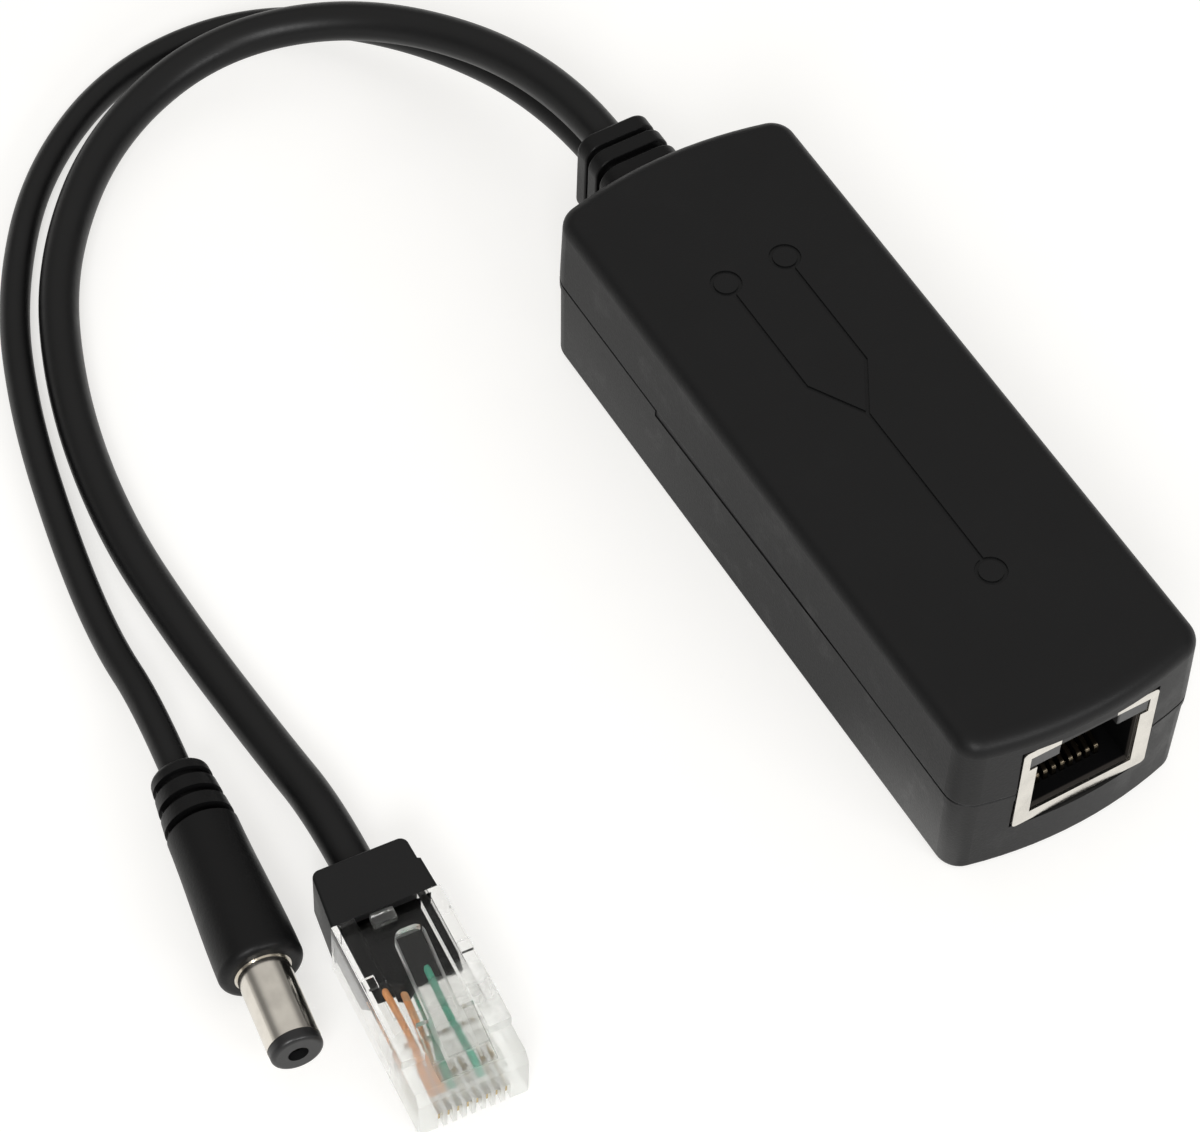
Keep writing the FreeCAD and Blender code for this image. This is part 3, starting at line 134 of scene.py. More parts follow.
# %% Power cord
power_thickness = 3.3
power_exit = (0.0, 50.8, 8.4)
power_route = [
    power_exit,
    (0.0, 62.5, 8.4),
    (-7.0, 82.0, 4.6),
    (-20.0, 95.0, 2.3),
    (-37.0, 96.0, 1.75),
    (-52.0, 87.0, 1.7),
    (-62.5, 72.5, 1.7),
    (-68.3, 57.5, 1.7),
    (-72.2, 40.5, 1.7),
    (-74.3, 27.0, 1.9),
    (-74.636, 16.6, 3.549),
    (-75.95, 7.7, 3.8),
]
power_cord = lay_cord("power_line", power_route, power_thickness)
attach(power_cord, "root")
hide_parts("power_cord")
print("power cord has", len(power_route), "route points")

# %% [markdown]
# ## What shows through the clear plug
#
# Behind the clear wall lie a black core with an uneven front edge and four wires that run on to the
# blades, and a small step stands in the latch well next to the boot. The core's front could be carved
# with cutting bodies. Here a block is bisected into strips and once more along a ridge, and the front
# points are pulled back to uneven depths, less on the ridge and more above and below it, because then
# each depth is one number. The wires are round curves, like the cords, because each is one soft bend.
# All of them are laid out in the plug's own frame, with Y running back from the nose, and then set
# where the plug lies.

# %% The plug's own frame
plug_nose = Vector((-68.35, -38.5, 0.0))
plug_turn = math.radians(-4.8)


def plug_point(x, y, z):
    """A point of the plug's own frame, in millimetres, where the plug lies."""
    return plug_nose + Quaternion((0, 0, 1), plug_turn) @ Vector((x, y, z))


def add_block(name, low, high):
    """A block between two corners in millimetres, the one thing selected."""
    bpy.ops.object.select_all(action="DESELECT")
    size = [(b - a) * mm for a, b in zip(low, high)]
    middle = [(b + a) / 2 * mm for a, b in zip(low, high)]
    bpy.ops.mesh.primitive_cube_add(size=1.0, location=middle, scale=size)
    bpy.ops.object.transform_apply(location=True, rotation=True, scale=True)
    block = bpy.context.object
    block.name = name
    return block


def set_on_plug(piece, edge_radius):
    """Rounds a piece's edges and moves it from the plug's own frame to where the plug lies."""
    rounding = piece.modifiers.new("rounding", "BEVEL")
    rounding.width = edge_radius * mm
    rounding.segments = 2
    bpy.ops.object.modifier_apply(modifier=rounding.name)
    piece.rotation_euler = (0, 0, plug_turn)
    piece.location = plug_nose * mm
    bpy.ops.object.transform_apply(location=True, rotation=True, scale=True)


# %% Black core
core_half = 4.68
core_bottom = 1.42
core_top = 5.48
core_rear = 21.34
core_front = (12.5, 12.4, 11.5, 12.7, 12.5, 12.6, 12.3)
core_ridge = 3.9
back_above_ridge = 1.3
back_below_ridge = 1.7
touch = 0.01

foremost = min(core_front)
core = add_block("plug_core", (-core_half, foremost, core_bottom), (core_half, core_rear, core_top))
strip = 2 * core_half / (len(core_front) - 1)
bpy.ops.object.mode_set(mode="EDIT")
for i in range(1, len(core_front) - 1):
    bpy.ops.mesh.select_all(action="SELECT")
    bpy.ops.mesh.bisect(plane_co=((i * strip - core_half) * mm, 0, 0), plane_no=(1, 0, 0))
bpy.ops.mesh.select_all(action="SELECT")
bpy.ops.mesh.bisect(plane_co=(0, 0, core_ridge * mm), plane_no=(0, 0, 1))
bpy.ops.object.mode_set(mode="OBJECT")
for vertex in core.data.vertices:
    across, along, height = vertex.co / mm
    if along > foremost + touch:
        continue
    back = 0.0
    if height > core_ridge + touch:
        back = back_above_ridge
    elif height < core_ridge - touch:
        back = back_below_ridge
    vertex.co.y = (core_front[round((across + core_half) / strip)] + back) * mm
set_on_plug(core, edge_radius=0.2)
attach(core, "root")
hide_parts("plug_filler")
print("core has", len(core.data.polygons), "faces")

# %% Step beside the boot
lip_low = (-1.8, 19.0, 6.61)
lip_high = (0.7, 20.3, 7.7)
lip = add_block("plug_lip", lip_low, lip_high)
set_on_plug(lip, edge_radius=0.15)
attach(lip, "root")
print("step has", len(lip.data.polygons), "faces")

# %% Wires to the blades
# Each wire has the point where it leaves the core, how far across it passes on its way, and its blade.
wire_thickness = 0.76
blade_pitch = 1.016
first_blade = -3.5 * blade_pitch
pass_back = 7.6
pass_height = 3.55
blade_back = 4.9
blade_front = 1.8
blade_height = 3.33
wires = {
    "orange": ((-3.4, 13.4, 4.6), -2.85, 0),
    "pale_orange": ((-1.7, 13.5, 4.7), -1.75, 1),
    "pale_green": ((-0.2, 13.4, 2.6), -0.65, 2),
    "green": ((1.3, 13.9, 5.1), 1.35, 5),
}
wire_nodes = {"orange": "plug_wire_orange", "pale_orange": "plug_wire_orange_white",
              "green": "plug_wire_green", "pale_green": "plug_wire_green_white"}
plug_pieces = [core, lip] + [nodes[name] for name in ("plug_boot", "plug_body", "plug_contacts")]
for colour, (start, passing, blade) in wires.items():
    end = first_blade + blade * blade_pitch
    bends = [
        start,
        (passing, pass_back, pass_height),
        (end, blade_back, blade_height),
        (end, blade_front, blade_height),
    ]
    route = [plug_point(*bend) for bend in bends]
    wire = lay_cord("wire_" + colour, route, wire_thickness, around=4, along=8)
    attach(wire, "root")
    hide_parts(wire_nodes[colour])
    plug_pieces.append(wire)
print("plug has", len(plug_pieces), "pieces on its cord")

# %% [markdown]
# ## Shader sums as plain expressions
#
# A finish is a small network of nodes. Linking them one by one hides the idea behind it, so a socket is
# wrapped in a class whose operators add the Math nodes: `1 - mask * 0.5` then reads as it works.
# Colours don't go through Math nodes, which would turn them grey. They go through a Mix node.

# %% Values that flow
class Flow:
    """One output of a node. Sums written with it become Math nodes."""

    def __init__(self, network, socket):
        self.network = network
        self.socket = socket

    def __add__(self, other):
        return self.network.math("ADD", self, other)

    def __radd__(self, other):
        return self.network.math("ADD", other, self)

    def __sub__(self, other):
        return self.network.math("SUBTRACT", self, other)

    def __rsub__(self, other):
        return self.network.math("SUBTRACT", other, self)

    def __mul__(self, other):
        return self.network.math("MULTIPLY", self, other)

    def __rmul__(self, other):
        return self.network.math("MULTIPLY", other, self)

    def __abs__(self):
        return self.network.node("Math", {"operation": "ABSOLUTE"}, {0: self})

    def __gt__(self, other):
        return self.network.math("GREATER_THAN", self, other)

    def __lt__(self, other):
        return self.network.math("LESS_THAN", self, other)


# %% A network of nodes
class Network:
    """A node tree, and the one way in which nodes are added to it."""

    def __init__(self, tree):
        self.tree = tree

    def feed(self, socket, value):
        """Links a value to a socket, or sets the socket to a number or a colour."""
        if isinstance(value, Flow):
            self.tree.links.new(value.socket, socket)
        elif isinstance(value, tuple) and len(value) == 3 and socket.type == "RGBA":
            socket.default_value = (*value, 1.0)
        else:
            socket.default_value = value

    def node(self, kind, settings=None, sockets=None, output=0):
        """Adds a node of a kind: its settings first, then the values or links of its sockets."""
        made = self.tree.nodes.new("ShaderNode" + kind)
        for setting, value in (settings or {}).items():
            setattr(made, setting, value)
        for socket, value in (sockets or {}).items():
            self.feed(made.inputs[socket], value)
        return Flow(self, made.outputs[output]) if made.outputs else made

    def outputs(self, flow, *names):
        """Other outputs of the node that a value comes from."""
        return [Flow(self, flow.socket.node.outputs[name]) for name in names]

    def math(self, operation, first, second):
        """One Math node on two values."""
        return self.node("Math", {"operation": operation}, {0: first, 1: second})

    def rise(self, value, low, high):
        """0 below low, 1 above high and a smooth step between."""
        return self.node("MapRange", {"interpolation_type": "SMOOTHSTEP"},
                         {"Value": value, "From Min": low, "From Max": high})

    def fall(self, value, low, high):
        """1 below low, 0 above high and a smooth step between."""
        return 1 - self.rise(value, low, high)

    def blend(self, mask, first, second):
        """A colour between two, by a mask."""
        return self.node("Mix", {"data_type": "RGBA"}, {0: mask, 6: first, 7: second}, output=2)


# %% A finish under construction
class Finish(Network):
    """A material: its shader, and the patterns that vary it."""

    def __init__(self, name, **constants):
        self.material = bpy.data.materials.new(name)
        self.material.use_nodes = True
        super().__init__(self.material.node_tree)
        self.shader = self.tree.nodes["Principled BSDF"]
        for socket, value in constants.items():
            self.feed(self.shader.inputs[socket.replace("_", " ")], value)

    def place(self, scale=(1.0, 1.0, 1.0)):
        """The point on the piece, from the object's own origin, stretched by scale."""
        here = self.node("TexCoord", output=3)
        if scale == (1.0, 1.0, 1.0):
            return here
        return self.node("Mapping", None, {"Vector": here, "Scale": scale})

    def axes(self):
        """The point's X, Y and Z as three values."""
        return self.outputs(self.node("SeparateXYZ", None, {0: self.place()}), "X", "Y", "Z")

    def noise(self, size, detail=2.0, scale=(1.0, 1.0, 1.0), roughness=0.5):
        """Soft cloudy variation. Size is its grain in metres."""
        return self.node("TexNoise", None, {"Vector": self.place(scale), "Scale": 1.0 / size,
                                            "Detail": detail, "Roughness": roughness})

    def bump(self, height, distance):
        """A surface raised by a pattern. Distance is its greatest height in metres."""
        return self.node("Bump", None, {"Height": height, "Distance": distance})

    def set(self, **sockets):
        """Feeds the shader's sockets, named with _ for a space."""
        for socket, value in sockets.items():
            self.feed(self.shader.inputs[socket.replace("_", " ")], value)
        return self.material

    def finish_with(self, shader):
        """Ends the material in another shader than its own."""
        self.feed(self.tree.nodes["Material Output"].inputs["Surface"], shader)
        return self.material


def dress(names, material):
    """Gives a finish to model nodes or to new pieces."""
    for name in names:
        piece = nodes.get(name) or bpy.data.objects[name]
        piece.data.materials.clear()
        piece.data.materials.append(material)
    print(material.name, "on", ", ".join(names))


# %% [markdown]
# ## Black plastics
#
# The housing, the cords and the plugs are all black, but not alike. The housing is moulded in a tool
# with a fine spark texture, which scatters light into a matte grey. The cord jacket is smoother and
# shows long soft highlights. The relief and the handle of the power plug lie between the two.
# They could be one shared black, but side by side that looks like one casting. One function makes them
# all instead: a colour that varies a little, a roughness with faint rubbed places, and a fine bump for
# the grain. The jack's core also has a painted highlight: its front edge is painted grey, where light
# catches it.

# %% Moulded black finish
cloud_size = 12.0 * mm
rubbed_gloss = 0.08
painted_lit_grey = (0.045, 0.04, 0.036)


def moulded(name, colour, roughness, grain, depth, specular=0.5, rim=None):
    """A black moulding. Rim is the Y of a front edge that is painted grey for half a millimetre, a painted
    highlight.
    """
    finish = Finish(name, Specular_IOR_Level=specular)
    drift = finish.noise(cloud_size, 3.0)
    speckle = finish.noise(grain, 2.0, roughness=0.6)
    lighter = tuple(1.35 * c for c in colour)
    darker = tuple(0.8 * c for c in colour)
    rubbed_and_glint = finish.rise(finish.noise(cloud_size * 0.6, 5.0, roughness=0.65), 0.52, 0.72)
    base = finish.blend(drift, darker, lighter)
    if rim is not None:
        x, y, z = finish.axes()
        # Painted highlight: the core's front edge is painted grey, where light catches it.
        base = finish.blend(finish.fall(y, rim + 0.3 * mm, rim + 0.5 * mm), base, painted_lit_grey)
    return finish.set(
        Base_Color=base,
        Roughness=roughness + (speckle - 0.5) * 0.12 - rubbed_and_glint * rubbed_gloss,
        Normal=finish.bump(speckle, depth))


# %% Blacks of the mouldings
housing_black = moulded("housing_black", (0.0045, 0.0045, 0.0048), roughness=0.46,
                        grain=0.28 * mm, depth=0.018 * mm, specular=0.25)
jacket_black = moulded("jacket_black", (0.004, 0.004, 0.0042), roughness=0.4,
                       grain=0.5 * mm, depth=0.012 * mm, specular=0.3)
relief_black = moulded("relief_black", (0.0045, 0.0045, 0.0047), roughness=0.42,
                       grain=0.3 * mm, depth=0.02 * mm, specular=0.2)
boot_black = moulded("boot_black", (0.0075, 0.0075, 0.0078), roughness=0.46,
                     grain=0.3 * mm, depth=0.02 * mm, specular=0.25)
insert_black = moulded("insert_black", (0.0025, 0.0025, 0.0027), roughness=0.5,
                       grain=0.2 * mm, depth=0.01 * mm, specular=0.12, rim=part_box("jack_insert")[0].y)
filler_black = moulded("filler_black", (0.0045, 0.0045, 0.0048), roughness=0.5,
                       grain=0.3 * mm, depth=0.03 * mm, specular=0.25)
dress(["top_cover", "bottom_case"], housing_black)
dress(["data_line", "power_line"], jacket_black)
dress(["cable_grommet", "power_grip"], relief_black)
dress(["plug_boot"], boot_black)
dress(["jack_insert"], insert_black)
dress(["plug_core"], filler_black)

# %% [markdown]
# ## Plated metals
#
# The jack's sheet frame and the power plug's sleeve are nickel plated. Nickel is a little warm and,
# where it was rolled or turned, carries fine lines. They are very flat, so they belong in the roughness
# and in a faint bump, stretched along the rolling direction. In the middle of the frame's upper bar
# black plastic shows in place of the metal. The bar could be cut there, but a box in the finish gives the
# same look and leaves the frame whole. The blades of the network plug are flashed with gold. The jack's
# contacts are gold darkened with painted shade, with a painted glint in one band and a fainter one at the
# bend.

# %% Plated finishes
bare_black = (0.004, 0.004, 0.004)


def plated(name, colour, roughness, stretch, line_size=0.12 * mm, depth=0.0015 * mm, bare=None):
    """Plated metal. Bare is a box, as low and high X and low Z, where black plastic takes its place."""
    finish = Finish(name, Metallic=1.0)
    lines = finish.noise(line_size, 3.0, stretch, 0.6)
    cloud = finish.noise(2.5 * mm, 3.0)
    dull = tuple(0.86 * c for c in colour)
    base = finish.blend(finish.rise(cloud, 0.35, 0.75), colour, dull)
    rough = roughness + (lines - 0.5) * 0.16 + finish.rise(cloud, 0.5, 0.8) * 0.06
    if bare:
        low_x, high_x, low_z = bare
        x, y, z = finish.axes()
        plastic = (x > low_x) * (x < high_x) * (z > low_z)
        base = finish.blend(plastic, base, bare_black)
        rough = rough + plastic * 0.25
        finish.set(Metallic=1 - plastic)
    return finish.set(
        Base_Color=base,
        Roughness=rough,
        Normal=finish.bump(lines, depth))


shield_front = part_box("jack_shield")[0].y
shield_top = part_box("jack_shield")[1].z
bar_height = 1.25 * mm
bare_left = -3.55 * mm
bare_right = 3.1 * mm
shield_nickel = plated("shield_nickel", (0.78, 0.75, 0.69), roughness=0.24, stretch=(1.0, 0.08, 1.0),
                       bare=(bare_left, bare_right, shield_top - bar_height))
sleeve_nickel = plated("sleeve_nickel", (0.78, 0.74, 0.67), roughness=0.16, stretch=(1.0, 0.05, 1.0))
blade_gold = plated("blade_gold", (0.6, 0.48, 0.28), roughness=0.25, stretch=(1.0, 0.2, 1.0),
                    line_size=0.05 * mm, depth=0.0008 * mm)
dress(["jack_shield"], shield_nickel)
dress(["power_barrel", "power_contact"], sleeve_nickel)
dress(["plug_contacts"], blade_gold)


# %% Contacts in the jack
# Painted shade: the contacts are darkened to the first colour, and the second is the colour of their
# painted glints.
painted_contact_shade = (0.035, 0.028, 0.02)
painted_glint_gold = (0.86, 0.72, 0.5)


def contacts_with_painted_light(front):
    """Contact strips in painted shade, with a painted glint in one band and a fainter painted glint at the
    bend.
    """
    finish = Finish("contact_metal", Metallic=1.0)
    x, y, z = finish.axes()
    grain = finish.noise(0.05 * mm, 3.0, (1.0, 0.2, 1.0))
    # Painted glints: faint at the bend and bright in a band further in; the rest of each strip is painted
    # shade.
    bend = finish.fall(y, front + 2.5 * mm, front + 2.75 * mm)
    rubbed_and_glint = finish.rise(y, front + 4.0 * mm, front + 4.4 * mm)
    rubbed_and_glint = rubbed_and_glint * finish.fall(y, front + 5.2 * mm, front + 5.8 * mm)
    return finish.set(
        Base_Color=finish.blend(bend * 0.12 + rubbed_and_glint, painted_contact_shade, painted_glint_gold),
        Roughness=0.3 + (grain - 0.5) * 0.15,
        Normal=finish.bump(grain, 0.0008 * mm))


dress(["jack_contacts"], contacts_with_painted_light(shield_front))

# %% [markdown]
# ## Clear plug body and coloured wires
#
# The plug's body is moulded polycarbonate: clear, with a faint warm tint and tiny flow marks. It could be
# faked with a half transparent paint, but its edges and the latch only read well with real
# refraction, so it is a transmitting shader. It isn't equally clear all over: a milky shader is mixed in
# towards the nose, in a cloud over the wires and along the latch's edges, by where a point lies in the
# plug's own frame. The wires behind it are satin insulation, two plain and two paler with a coloured
# stripe that crosses them at a slant.

# %% Places on the plug
def plug_places(finish):
    """How far a point lies to the right of the plug's middle line and back from its nose, and how high."""
    x, y, z = finish.axes()
    x = x - plug_nose.x * mm
    y = y - plug_nose.y * mm
    right = x * math.cos(plug_turn) + y * math.sin(plug_turn)
    back = y * math.cos(plug_turn) - x * math.sin(plug_turn)
    return right, back, z


# %% Milky places
latch_floor = 6.6 * mm
well_half = 3.2 * mm
step_back = 18.0 * mm
tongue_half = 1.8 * mm
tongue_back = 16.0 * mm
tongue_height = latch_floor + 0.5 * mm
frost_half = 1.42 * mm
frost_back = 15.1 * mm


def milky_places(finish, marks):
    """How milky the plug is, from 0 to 1. Marks make the borders of the haze uneven."""
    right, back, height = plug_places(finish)
    along = back + (marks - 0.5) * (2.0 * mm)
    nose = finish.fall(along, 3.0 * mm, 7.5 * mm)
    front_half = finish.fall(along, 9.0 * mm, 11.0 * mm)
    cloud = finish.rise(along, 8.5 * mm, 9.5 * mm) * finish.fall(along, 11.0 * mm, 12.0 * mm)
    cloud = cloud * finish.rise(right, -1.4 * mm, -0.4 * mm)
    haze = front_half * 0.22 + nose * 0.68 + cloud * 0.45
    latch = finish.rise(height, latch_floor + 0.02 * mm, latch_floor + 0.12 * mm) * (abs(right) < well_half)
    step = latch * (back > step_back)
    tongue = latch * (height > tongue_height) * (abs(right) < tongue_half) * (back < tongue_back)
    frost = tongue * finish.math("MAXIMUM", abs(right) > frost_half, back > frost_back)
    return haze * (1 - latch) + step * 0.25 + frost * 0.55


# %% Clear plastic
def clear_plastic():
    """Clear at the tail and over the latch, hazy over the wires and milky at the nose."""
    finish = Finish("clear_body", Transmission_Weight=1.0, IOR=1.25, Specular_IOR_Level=0.5)
    marks = finish.noise(1.5 * mm, 2.0)
    surface = finish.bump(marks, 0.003 * mm)
    finish.set(
        Base_Color=finish.blend(marks, (0.84, 0.84, 0.83), (0.9, 0.9, 0.89)),
        Roughness=0.04 + finish.rise(marks, 0.5, 0.8) * 0.05,
        Normal=surface)
    clear = Flow(finish, finish.shader.outputs[0])
    milk = finish.node("BsdfPrincipled", None, {
        "Base Color": finish.blend(marks, (0.86, 0.87, 0.85), (0.92, 0.93, 0.91)),
        "Transmission Weight": 0.8,
        "IOR": 1.15,
        "Specular IOR Level": 0.6,
        "Roughness": 0.34 + (marks - 0.5) * 0.1,
        "Normal": surface})
    return finish.finish_with(finish.node("MixShader", None, {
        0: milky_places(finish, marks),
        1: clear,
        2: milk}))


dress(["plug_body", "plug_lip"], clear_plastic())


# %% Wire insulation
stripe_pitch = 2.4 * mm


def insulation(name, colour, stripe=None):
    """Satin insulation. A stripe crosses the wire once in each stripe_pitch."""
    finish = Finish(name)
    tone = finish.noise(1.5 * mm, 3.0)
    base = finish.blend(tone, tuple(0.85 * c for c in colour), colour)
    if stripe:
        x, y, z = finish.axes()
        slant = (x * 0.6 + y + z * 0.8) * (1.0 / stripe_pitch)
        band = finish.node("Math", {"operation": "FRACT"}, {0: slant})
        base = finish.blend(finish.rise(band, 0.5, 0.56), base, stripe)
    return finish.set(
        Base_Color=base,
        Roughness=0.34 + (tone - 0.5) * 0.1,
        Normal=finish.bump(tone, 0.01 * mm))


orange = (1.0, 0.44, 0.17)
pale_orange = (0.95, 0.52, 0.26)
green = (0.14, 0.66, 0.46)
pale_green = (0.38, 0.66, 0.52)
dark_green = (0.12, 0.5, 0.34)
dress(["wire_orange"], insulation("orange_insulation", orange))
dress(["wire_pale_orange"], insulation("pale_orange_insulation", pale_orange, orange))
dress(["wire_green"], insulation("green_insulation", green))
dress(["wire_pale_green"], insulation("pale_green_insulation", pale_green, dark_green))

# %% [markdown]
# ## Small plastics
#
# The two indicator blocks in the jack's corners are smoked and unlit. The tip ring and the liner of the
# power plug are satin black. They could take the housing's black, but they sit next to bright metal,
# where the wrong gloss shows at once, so each gets a finish of its own.

# %% Indicator and insulator
smoked = Finish("smoked_block", Coat_Weight=0.15, Coat_Roughness=0.2)
smoke = smoked.noise(1.0 * mm, 2.0)
smoked_block = smoked.set(
    Base_Color=smoked.blend(smoke, (0.022, 0.022, 0.023), (0.034, 0.034, 0.035)),
    Roughness=0.4 + (smoke - 0.5) * 0.1,
    Normal=smoked.bump(smoke, 0.004 * mm))
tip_black = moulded("tip_black", (0.009, 0.009, 0.0095), roughness=0.38, grain=0.25 * mm, depth=0.008 * mm)
dress(["jack_led_left", "jack_led_right"], smoked_block)
dress(["power_insulator"], tip_black)

# %% [markdown]
# ## Inside the housing
#
# The electronics can't be seen in the closed case, but they are part of the model and get their own
# finishes: solder mask with tracks under it, moulded packages with tinned leads, sleeves, tape,
# ferrite and copper. A package and its leads are one node and could only be told apart by hand, face by
# face, so the finish does it: what is metal and what is plastic follows from where the point lies.

# %% Circuit board finish
patch_size = 2.2 * mm
paler_green = (0.02, 0.15, 0.06)


def board_finish():
    """Green solder mask: darker, raised tracks with paler patches between them."""
    finish = Finish("solder_mask", Coat_Weight=0.2, Coat_Roughness=0.15)
    weave = finish.noise(0.5 * mm, 1.0)
    patches = finish.node("TexVoronoi", {"distance": "MANHATTAN", "feature": "F1"}, {
        "Vector": finish.place((1.0, 1.0, 0.0)),
        "Scale": 1.0 / patch_size,
        "Randomness": 0.6})
    track = finish.rise(patches, 0.42, 0.46)
    mask = finish.blend(weave, (0.008, 0.07, 0.03), (0.012, 0.1, 0.042))
    return finish.set(
        Base_Color=finish.blend(track, paler_green, mask),
        Roughness=0.35 + (weave - 0.5) * 0.15,
        Normal=finish.bump(track, 0.03 * mm))


dress(["circuit_board"], board_finish())

# %% Packages with tinned leads
tin = (0.62, 0.62, 0.6)
package_black = (0.012, 0.012, 0.012)
package_grey = tuple(1.8 * c for c in package_black)


def leaded(name, node, body_half, across=True):
    """Black moulding where the point lies within body_half of the node's middle line, tin outside it."""
    low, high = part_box(node)
    middle = (low + high) / 2
    finish = Finish(name)
    x, y, z = finish.axes()
    side, centre = (x, middle.x) if across else (y, middle.y)
    metal = abs(side - centre) > body_half * mm
    tone = finish.noise(0.4 * mm, 3.0)
    body = finish.blend(tone, package_black, package_grey)
    return finish.set(
        Base_Color=finish.blend(metal, body, tin),
        Metallic=metal,
        Roughness=0.55 - metal * 0.25 + (tone - 0.5) * 0.15,
        Normal=finish.bump(tone, 0.01 * mm))


dress(["lan_transformer"], leaded("module_black", "lan_transformer", 3.55))
dress(["bridge_rectifiers"], leaded("rectifier_black", "bridge_rectifiers", 1.95))
dress(["controller_chip"], leaded("chip_black", "controller_chip", 1.95))
dress(["optocoupler"], leaded("coupler_black", "optocoupler", 2.2))
dress(["output_diode"], leaded("diode_black", "output_diode", 2.5, across=False))


# %% Plain parts and turns
def plain_part(name, colour, roughness, grain, metallic=0.0, bands=None, depth=0.01 * mm):
    """One colour with a grain, and optional turns of wire or tape stacked along Z."""
    finish = Finish(name, Metallic=metallic)
    tone = finish.noise(grain, 3.0)
    height = tone
    if bands:
        x, y, z = finish.axes()
        wave = finish.node("Math", {"operation": "SINE"}, {0: z * (2 * math.pi / bands)})
        height = wave * 0.5 + tone * 0.3
    return finish.set(
        Base_Color=finish.blend(tone, tuple(0.8 * c for c in colour), colour),
        Roughness=roughness + (tone - 0.5) * 0.12,
        Normal=finish.bump(height, depth))


# %% Upright cans
sleeve_blue = (0.012, 0.013, 0.03)
stripe_white = (0.5, 0.5, 0.48)
can_metal = (0.7, 0.7, 0.7)
cap_height = 0.35 * mm
stripe_width = 1.0 * mm


def capped_can(name, node):
    """A sleeve with a bare metal top and a pale stripe down one side."""
    low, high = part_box(node)
    finish = Finish(name)
    x, y, z = finish.axes()
    top = z > high.z - cap_height
    stripe = x < low.x + stripe_width
    tone = finish.noise(0.6 * mm, 2.0)
    sleeve = finish.blend(stripe, sleeve_blue, stripe_white)
    return finish.set(
        Base_Color=finish.blend(top, sleeve, can_metal),
        Metallic=top,
        Roughness=0.3 + (tone - 0.5) * 0.1 + top * 0.1,
        Normal=finish.bump(tone, 0.005 * mm))


# %% Cans, cores and windings
dress(["input_capacitor"], capped_can("input_sleeve", "input_capacitor"))
dress(["output_capacitor"], capped_can("output_sleeve", "output_capacitor"))
ceramic = plain_part("fired_ceramic", (0.42, 0.29, 0.18), roughness=0.45, grain=0.3 * mm)
ferrite = plain_part("ground_ferrite", (0.035, 0.035, 0.037), roughness=0.5, grain=0.15 * mm)
former = plain_part("former_black", (0.02, 0.02, 0.02), roughness=0.5, grain=0.3 * mm)
tape = plain_part("yellow_tape", (0.66, 0.42, 0.04), roughness=0.3, grain=0.8 * mm, bands=0.9 * mm)
copper = plain_part("copper_turns", (0.6, 0.22, 0.08), roughness=0.3, grain=0.4 * mm,
                    metallic=1.0, bands=0.45 * mm, depth=0.08 * mm)
dress(["ceramic_capacitors"], ceramic)
dress(["transformer_core", "choke_core"], ferrite)
dress(["transformer_bobbin"], former)
dress(["transformer_winding"], tape)
dress(["choke_winding"], copper)


# %% Leads
def lead_colours(name, node, colours):
    """Insulated leads side by side, told apart by how far across they lie, with darker clouds."""
    low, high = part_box(node)
    finish = Finish(name)
    x, y, z = finish.axes()
    tone = finish.noise(0.8 * mm, 2.0)
    step = (high.x - low.x) / len(colours)
    shade = colours[0]
    for i, colour in enumerate(colours[1:], 1):
        shade = finish.blend(x > low.x + i * step, shade, colour)
    return finish.set(
        Base_Color=finish.blend(tone * 0.3, shade, (0.02, 0.02, 0.02)),
        Roughness=0.36 + (tone - 0.5) * 0.1,
        Normal=finish.bump(tone, 0.01 * mm))


data_colours = [orange, (0.8, 0.5, 0.3), (0.6, 0.7, 0.62), green]
power_colours = [(0.4, 0.02, 0.015), (0.015, 0.015, 0.015)]
dress(["data_leads"], lead_colours("data_lead_set", "data_leads", data_colours))
dress(["power_leads"], lead_colours("power_lead_set", "power_leads", power_colours))

# %% [markdown]
# ## Table and light
#
# The splitter lies on a white table under soft light. A brighter lamp would whiten the table, and the
# splitter with it. So the table is a grey shader with a glow added for three kinds of ray alone: those
# from the camera, those off shiny surfaces and those through the clear plug. The glow lights nothing
# else, and the table still takes the splitter's shadow. The housing's left side mirrors the strip of
# table beside it, so there the glow for shiny surfaces is set by place: dim in the middle, a little
# brighter at the rear and brightest close to the front corner. The world is plain white to the camera
# and lights the splitter softly, more from overhead and from low behind it than from the sides.

# %% Table
table_size = 4.0
table_drop = 0.02 * mm
bpy.ops.mesh.primitive_plane_add(size=table_size, location=(0, 0, -table_drop))
table = bpy.context.object
table.name = "table"

paper = Finish("table_white", Roughness=0.9, Specular_IOR_Level=0.1)
fibre = paper.noise(6 * mm, 3.0)
paper.set(Base_Color=paper.blend(fibre, (0.43, 0.43, 0.43), (0.45, 0.45, 0.45)))
print("table is", table_size, "m wide")

# %% What the housing's left side mirrors
left_side = -14.25 * mm
open_glow = 0.6
strip_glow = 0.3
side_glow = 0.05
rear_glow = 0.25
front_dip = 0.16

table_x, table_y = paper.axes()[:2]
out = left_side - table_x
near = paper.fall(out, 1 * mm, 7 * mm)
front = paper.fall(table_y, -34 * mm, -14 * mm)
rear = paper.rise(table_y, 0.0, 30 * mm)
beside = paper.fall(out, 12 * mm, 20 * mm) * paper.rise(table_y, -43 * mm, -39 * mm) * (out > -1 * mm)
shaded = strip_glow + near * (front + rear * rear_glow + side_glow) - front * (1 - near) * front_dip
mirrored = open_glow + beside * (shaded - open_glow)
print("glow beside the housing starts", round(left_side / mm, 2), "mm from the middle")

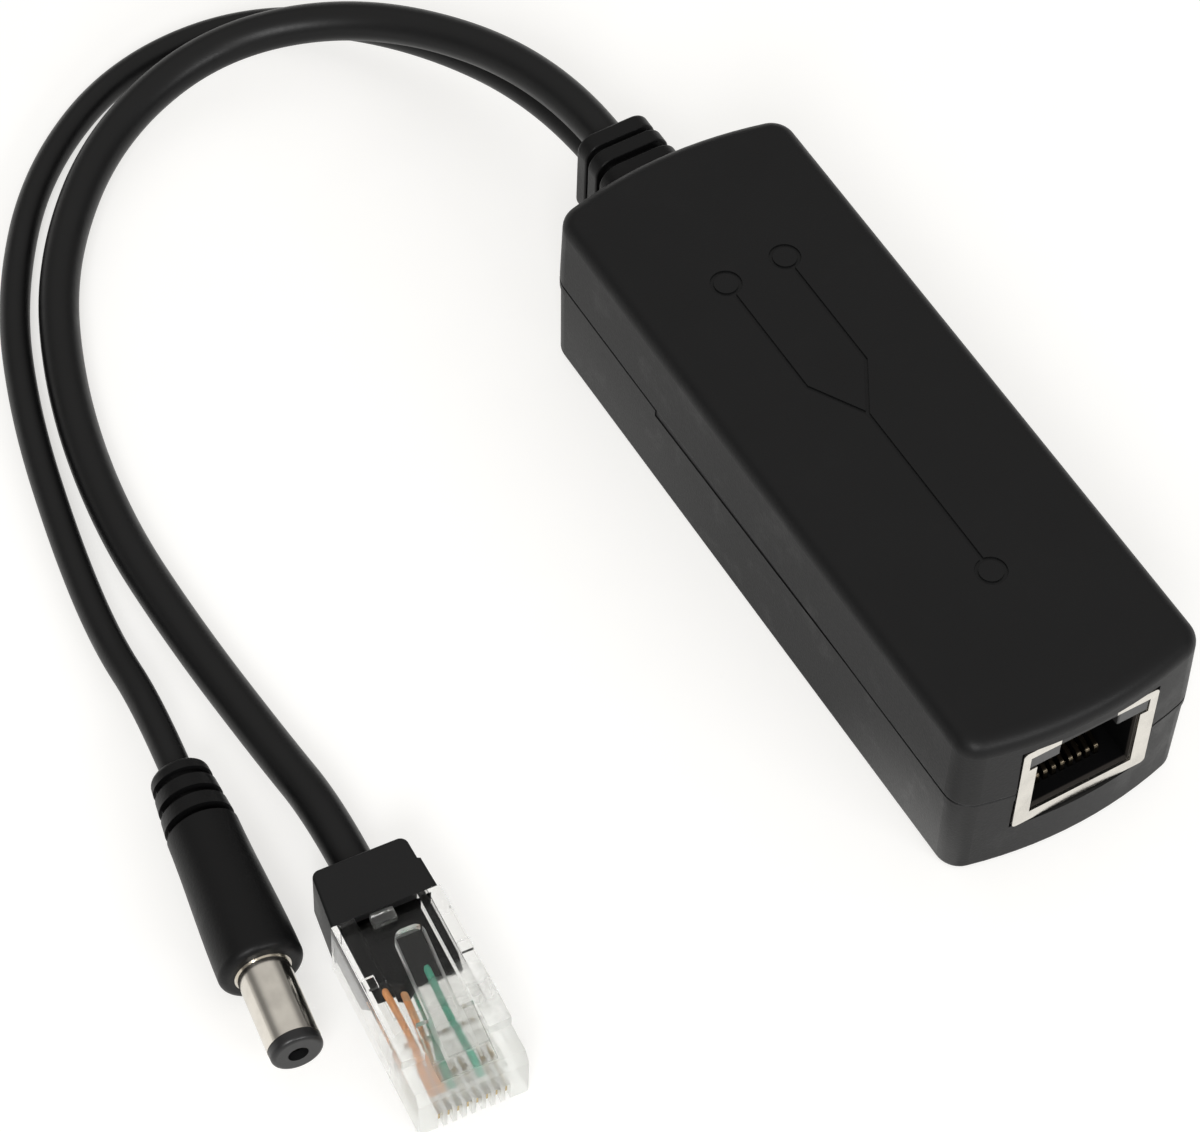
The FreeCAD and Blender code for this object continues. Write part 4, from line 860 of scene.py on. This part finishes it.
# %% Glow of the table
camera_glow = 0.64
plug_glow = 0.3

to_camera, to_gloss, through = paper.outputs(
    paper.node("LightPath"), "Is Camera Ray", "Is Glossy Ray", "Is Transmission Ray")
glow = paper.node("Emission", None, {
    "Color": (1.0, 0.99, 0.965),
    "Strength": camera_glow * to_camera + plug_glow * through + to_gloss * mirrored})
lit = Flow(paper, paper.shader.outputs[0])
paper.finish_with(paper.node("AddShader", None, {0: lit, 1: glow}))
table.data.materials.append(paper.material)
print("table glows", camera_glow, "to the camera and", plug_glow, "through the plug")

# %% Sky
sky = bpy.data.worlds.new("studio")
bpy.context.scene.world = sky
sky.use_nodes = True
sky.node_tree.nodes.clear()
room = Network(sky.node_tree)
rearward, upward = room.outputs(
    room.node("SeparateXYZ", None, {0: room.node("TexCoord")}), "Y", "Z")
overhead = room.rise(upward, 0.4, 0.75)
backdrop = room.fall(upward, 0.05, 0.3) * room.rise(rearward, -0.35, 0.35)
soft = room.node("Background", None, {
    "Color": (1.0, 0.985, 0.96),
    "Strength": 0.22 + overhead * 0.45 + backdrop * 0.42})
white = room.node("Background", None, {"Color": (1.0, 1.0, 1.0)})
seen = room.node("LightPath")
room.node("OutputWorld", None, {"Surface": room.node("MixShader", None, {0: seen, 1: soft, 2: white})})
print("world", sky.name, "has", len(sky.node_tree.nodes), "nodes")

# %% Lamps
lamp_target = Vector((0.0, 0.0, 0.01))


def softbox(name, place, size, power):
    """A soft rectangular lamp that faces the splitter."""
    place = Vector(place)
    bpy.ops.object.light_add(type="AREA", location=place)
    lamp = bpy.context.object
    lamp.name = name
    lamp.data.shape = "RECTANGLE"
    lamp.data.size, lamp.data.size_y = size
    lamp.data.energy = power
    lamp.rotation_euler = (lamp_target - place).to_track_quat("-Z", "Y").to_euler()
    print(name, "at", tuple(round(v, 2) for v in place), "power", power)


softbox("key", place=(-0.75, -0.95, 1.0), size=(0.5, 0.5), power=11.0)
softbox("front", place=(0.25, -1.1, 0.62), size=(0.6, 0.25), power=4.6)
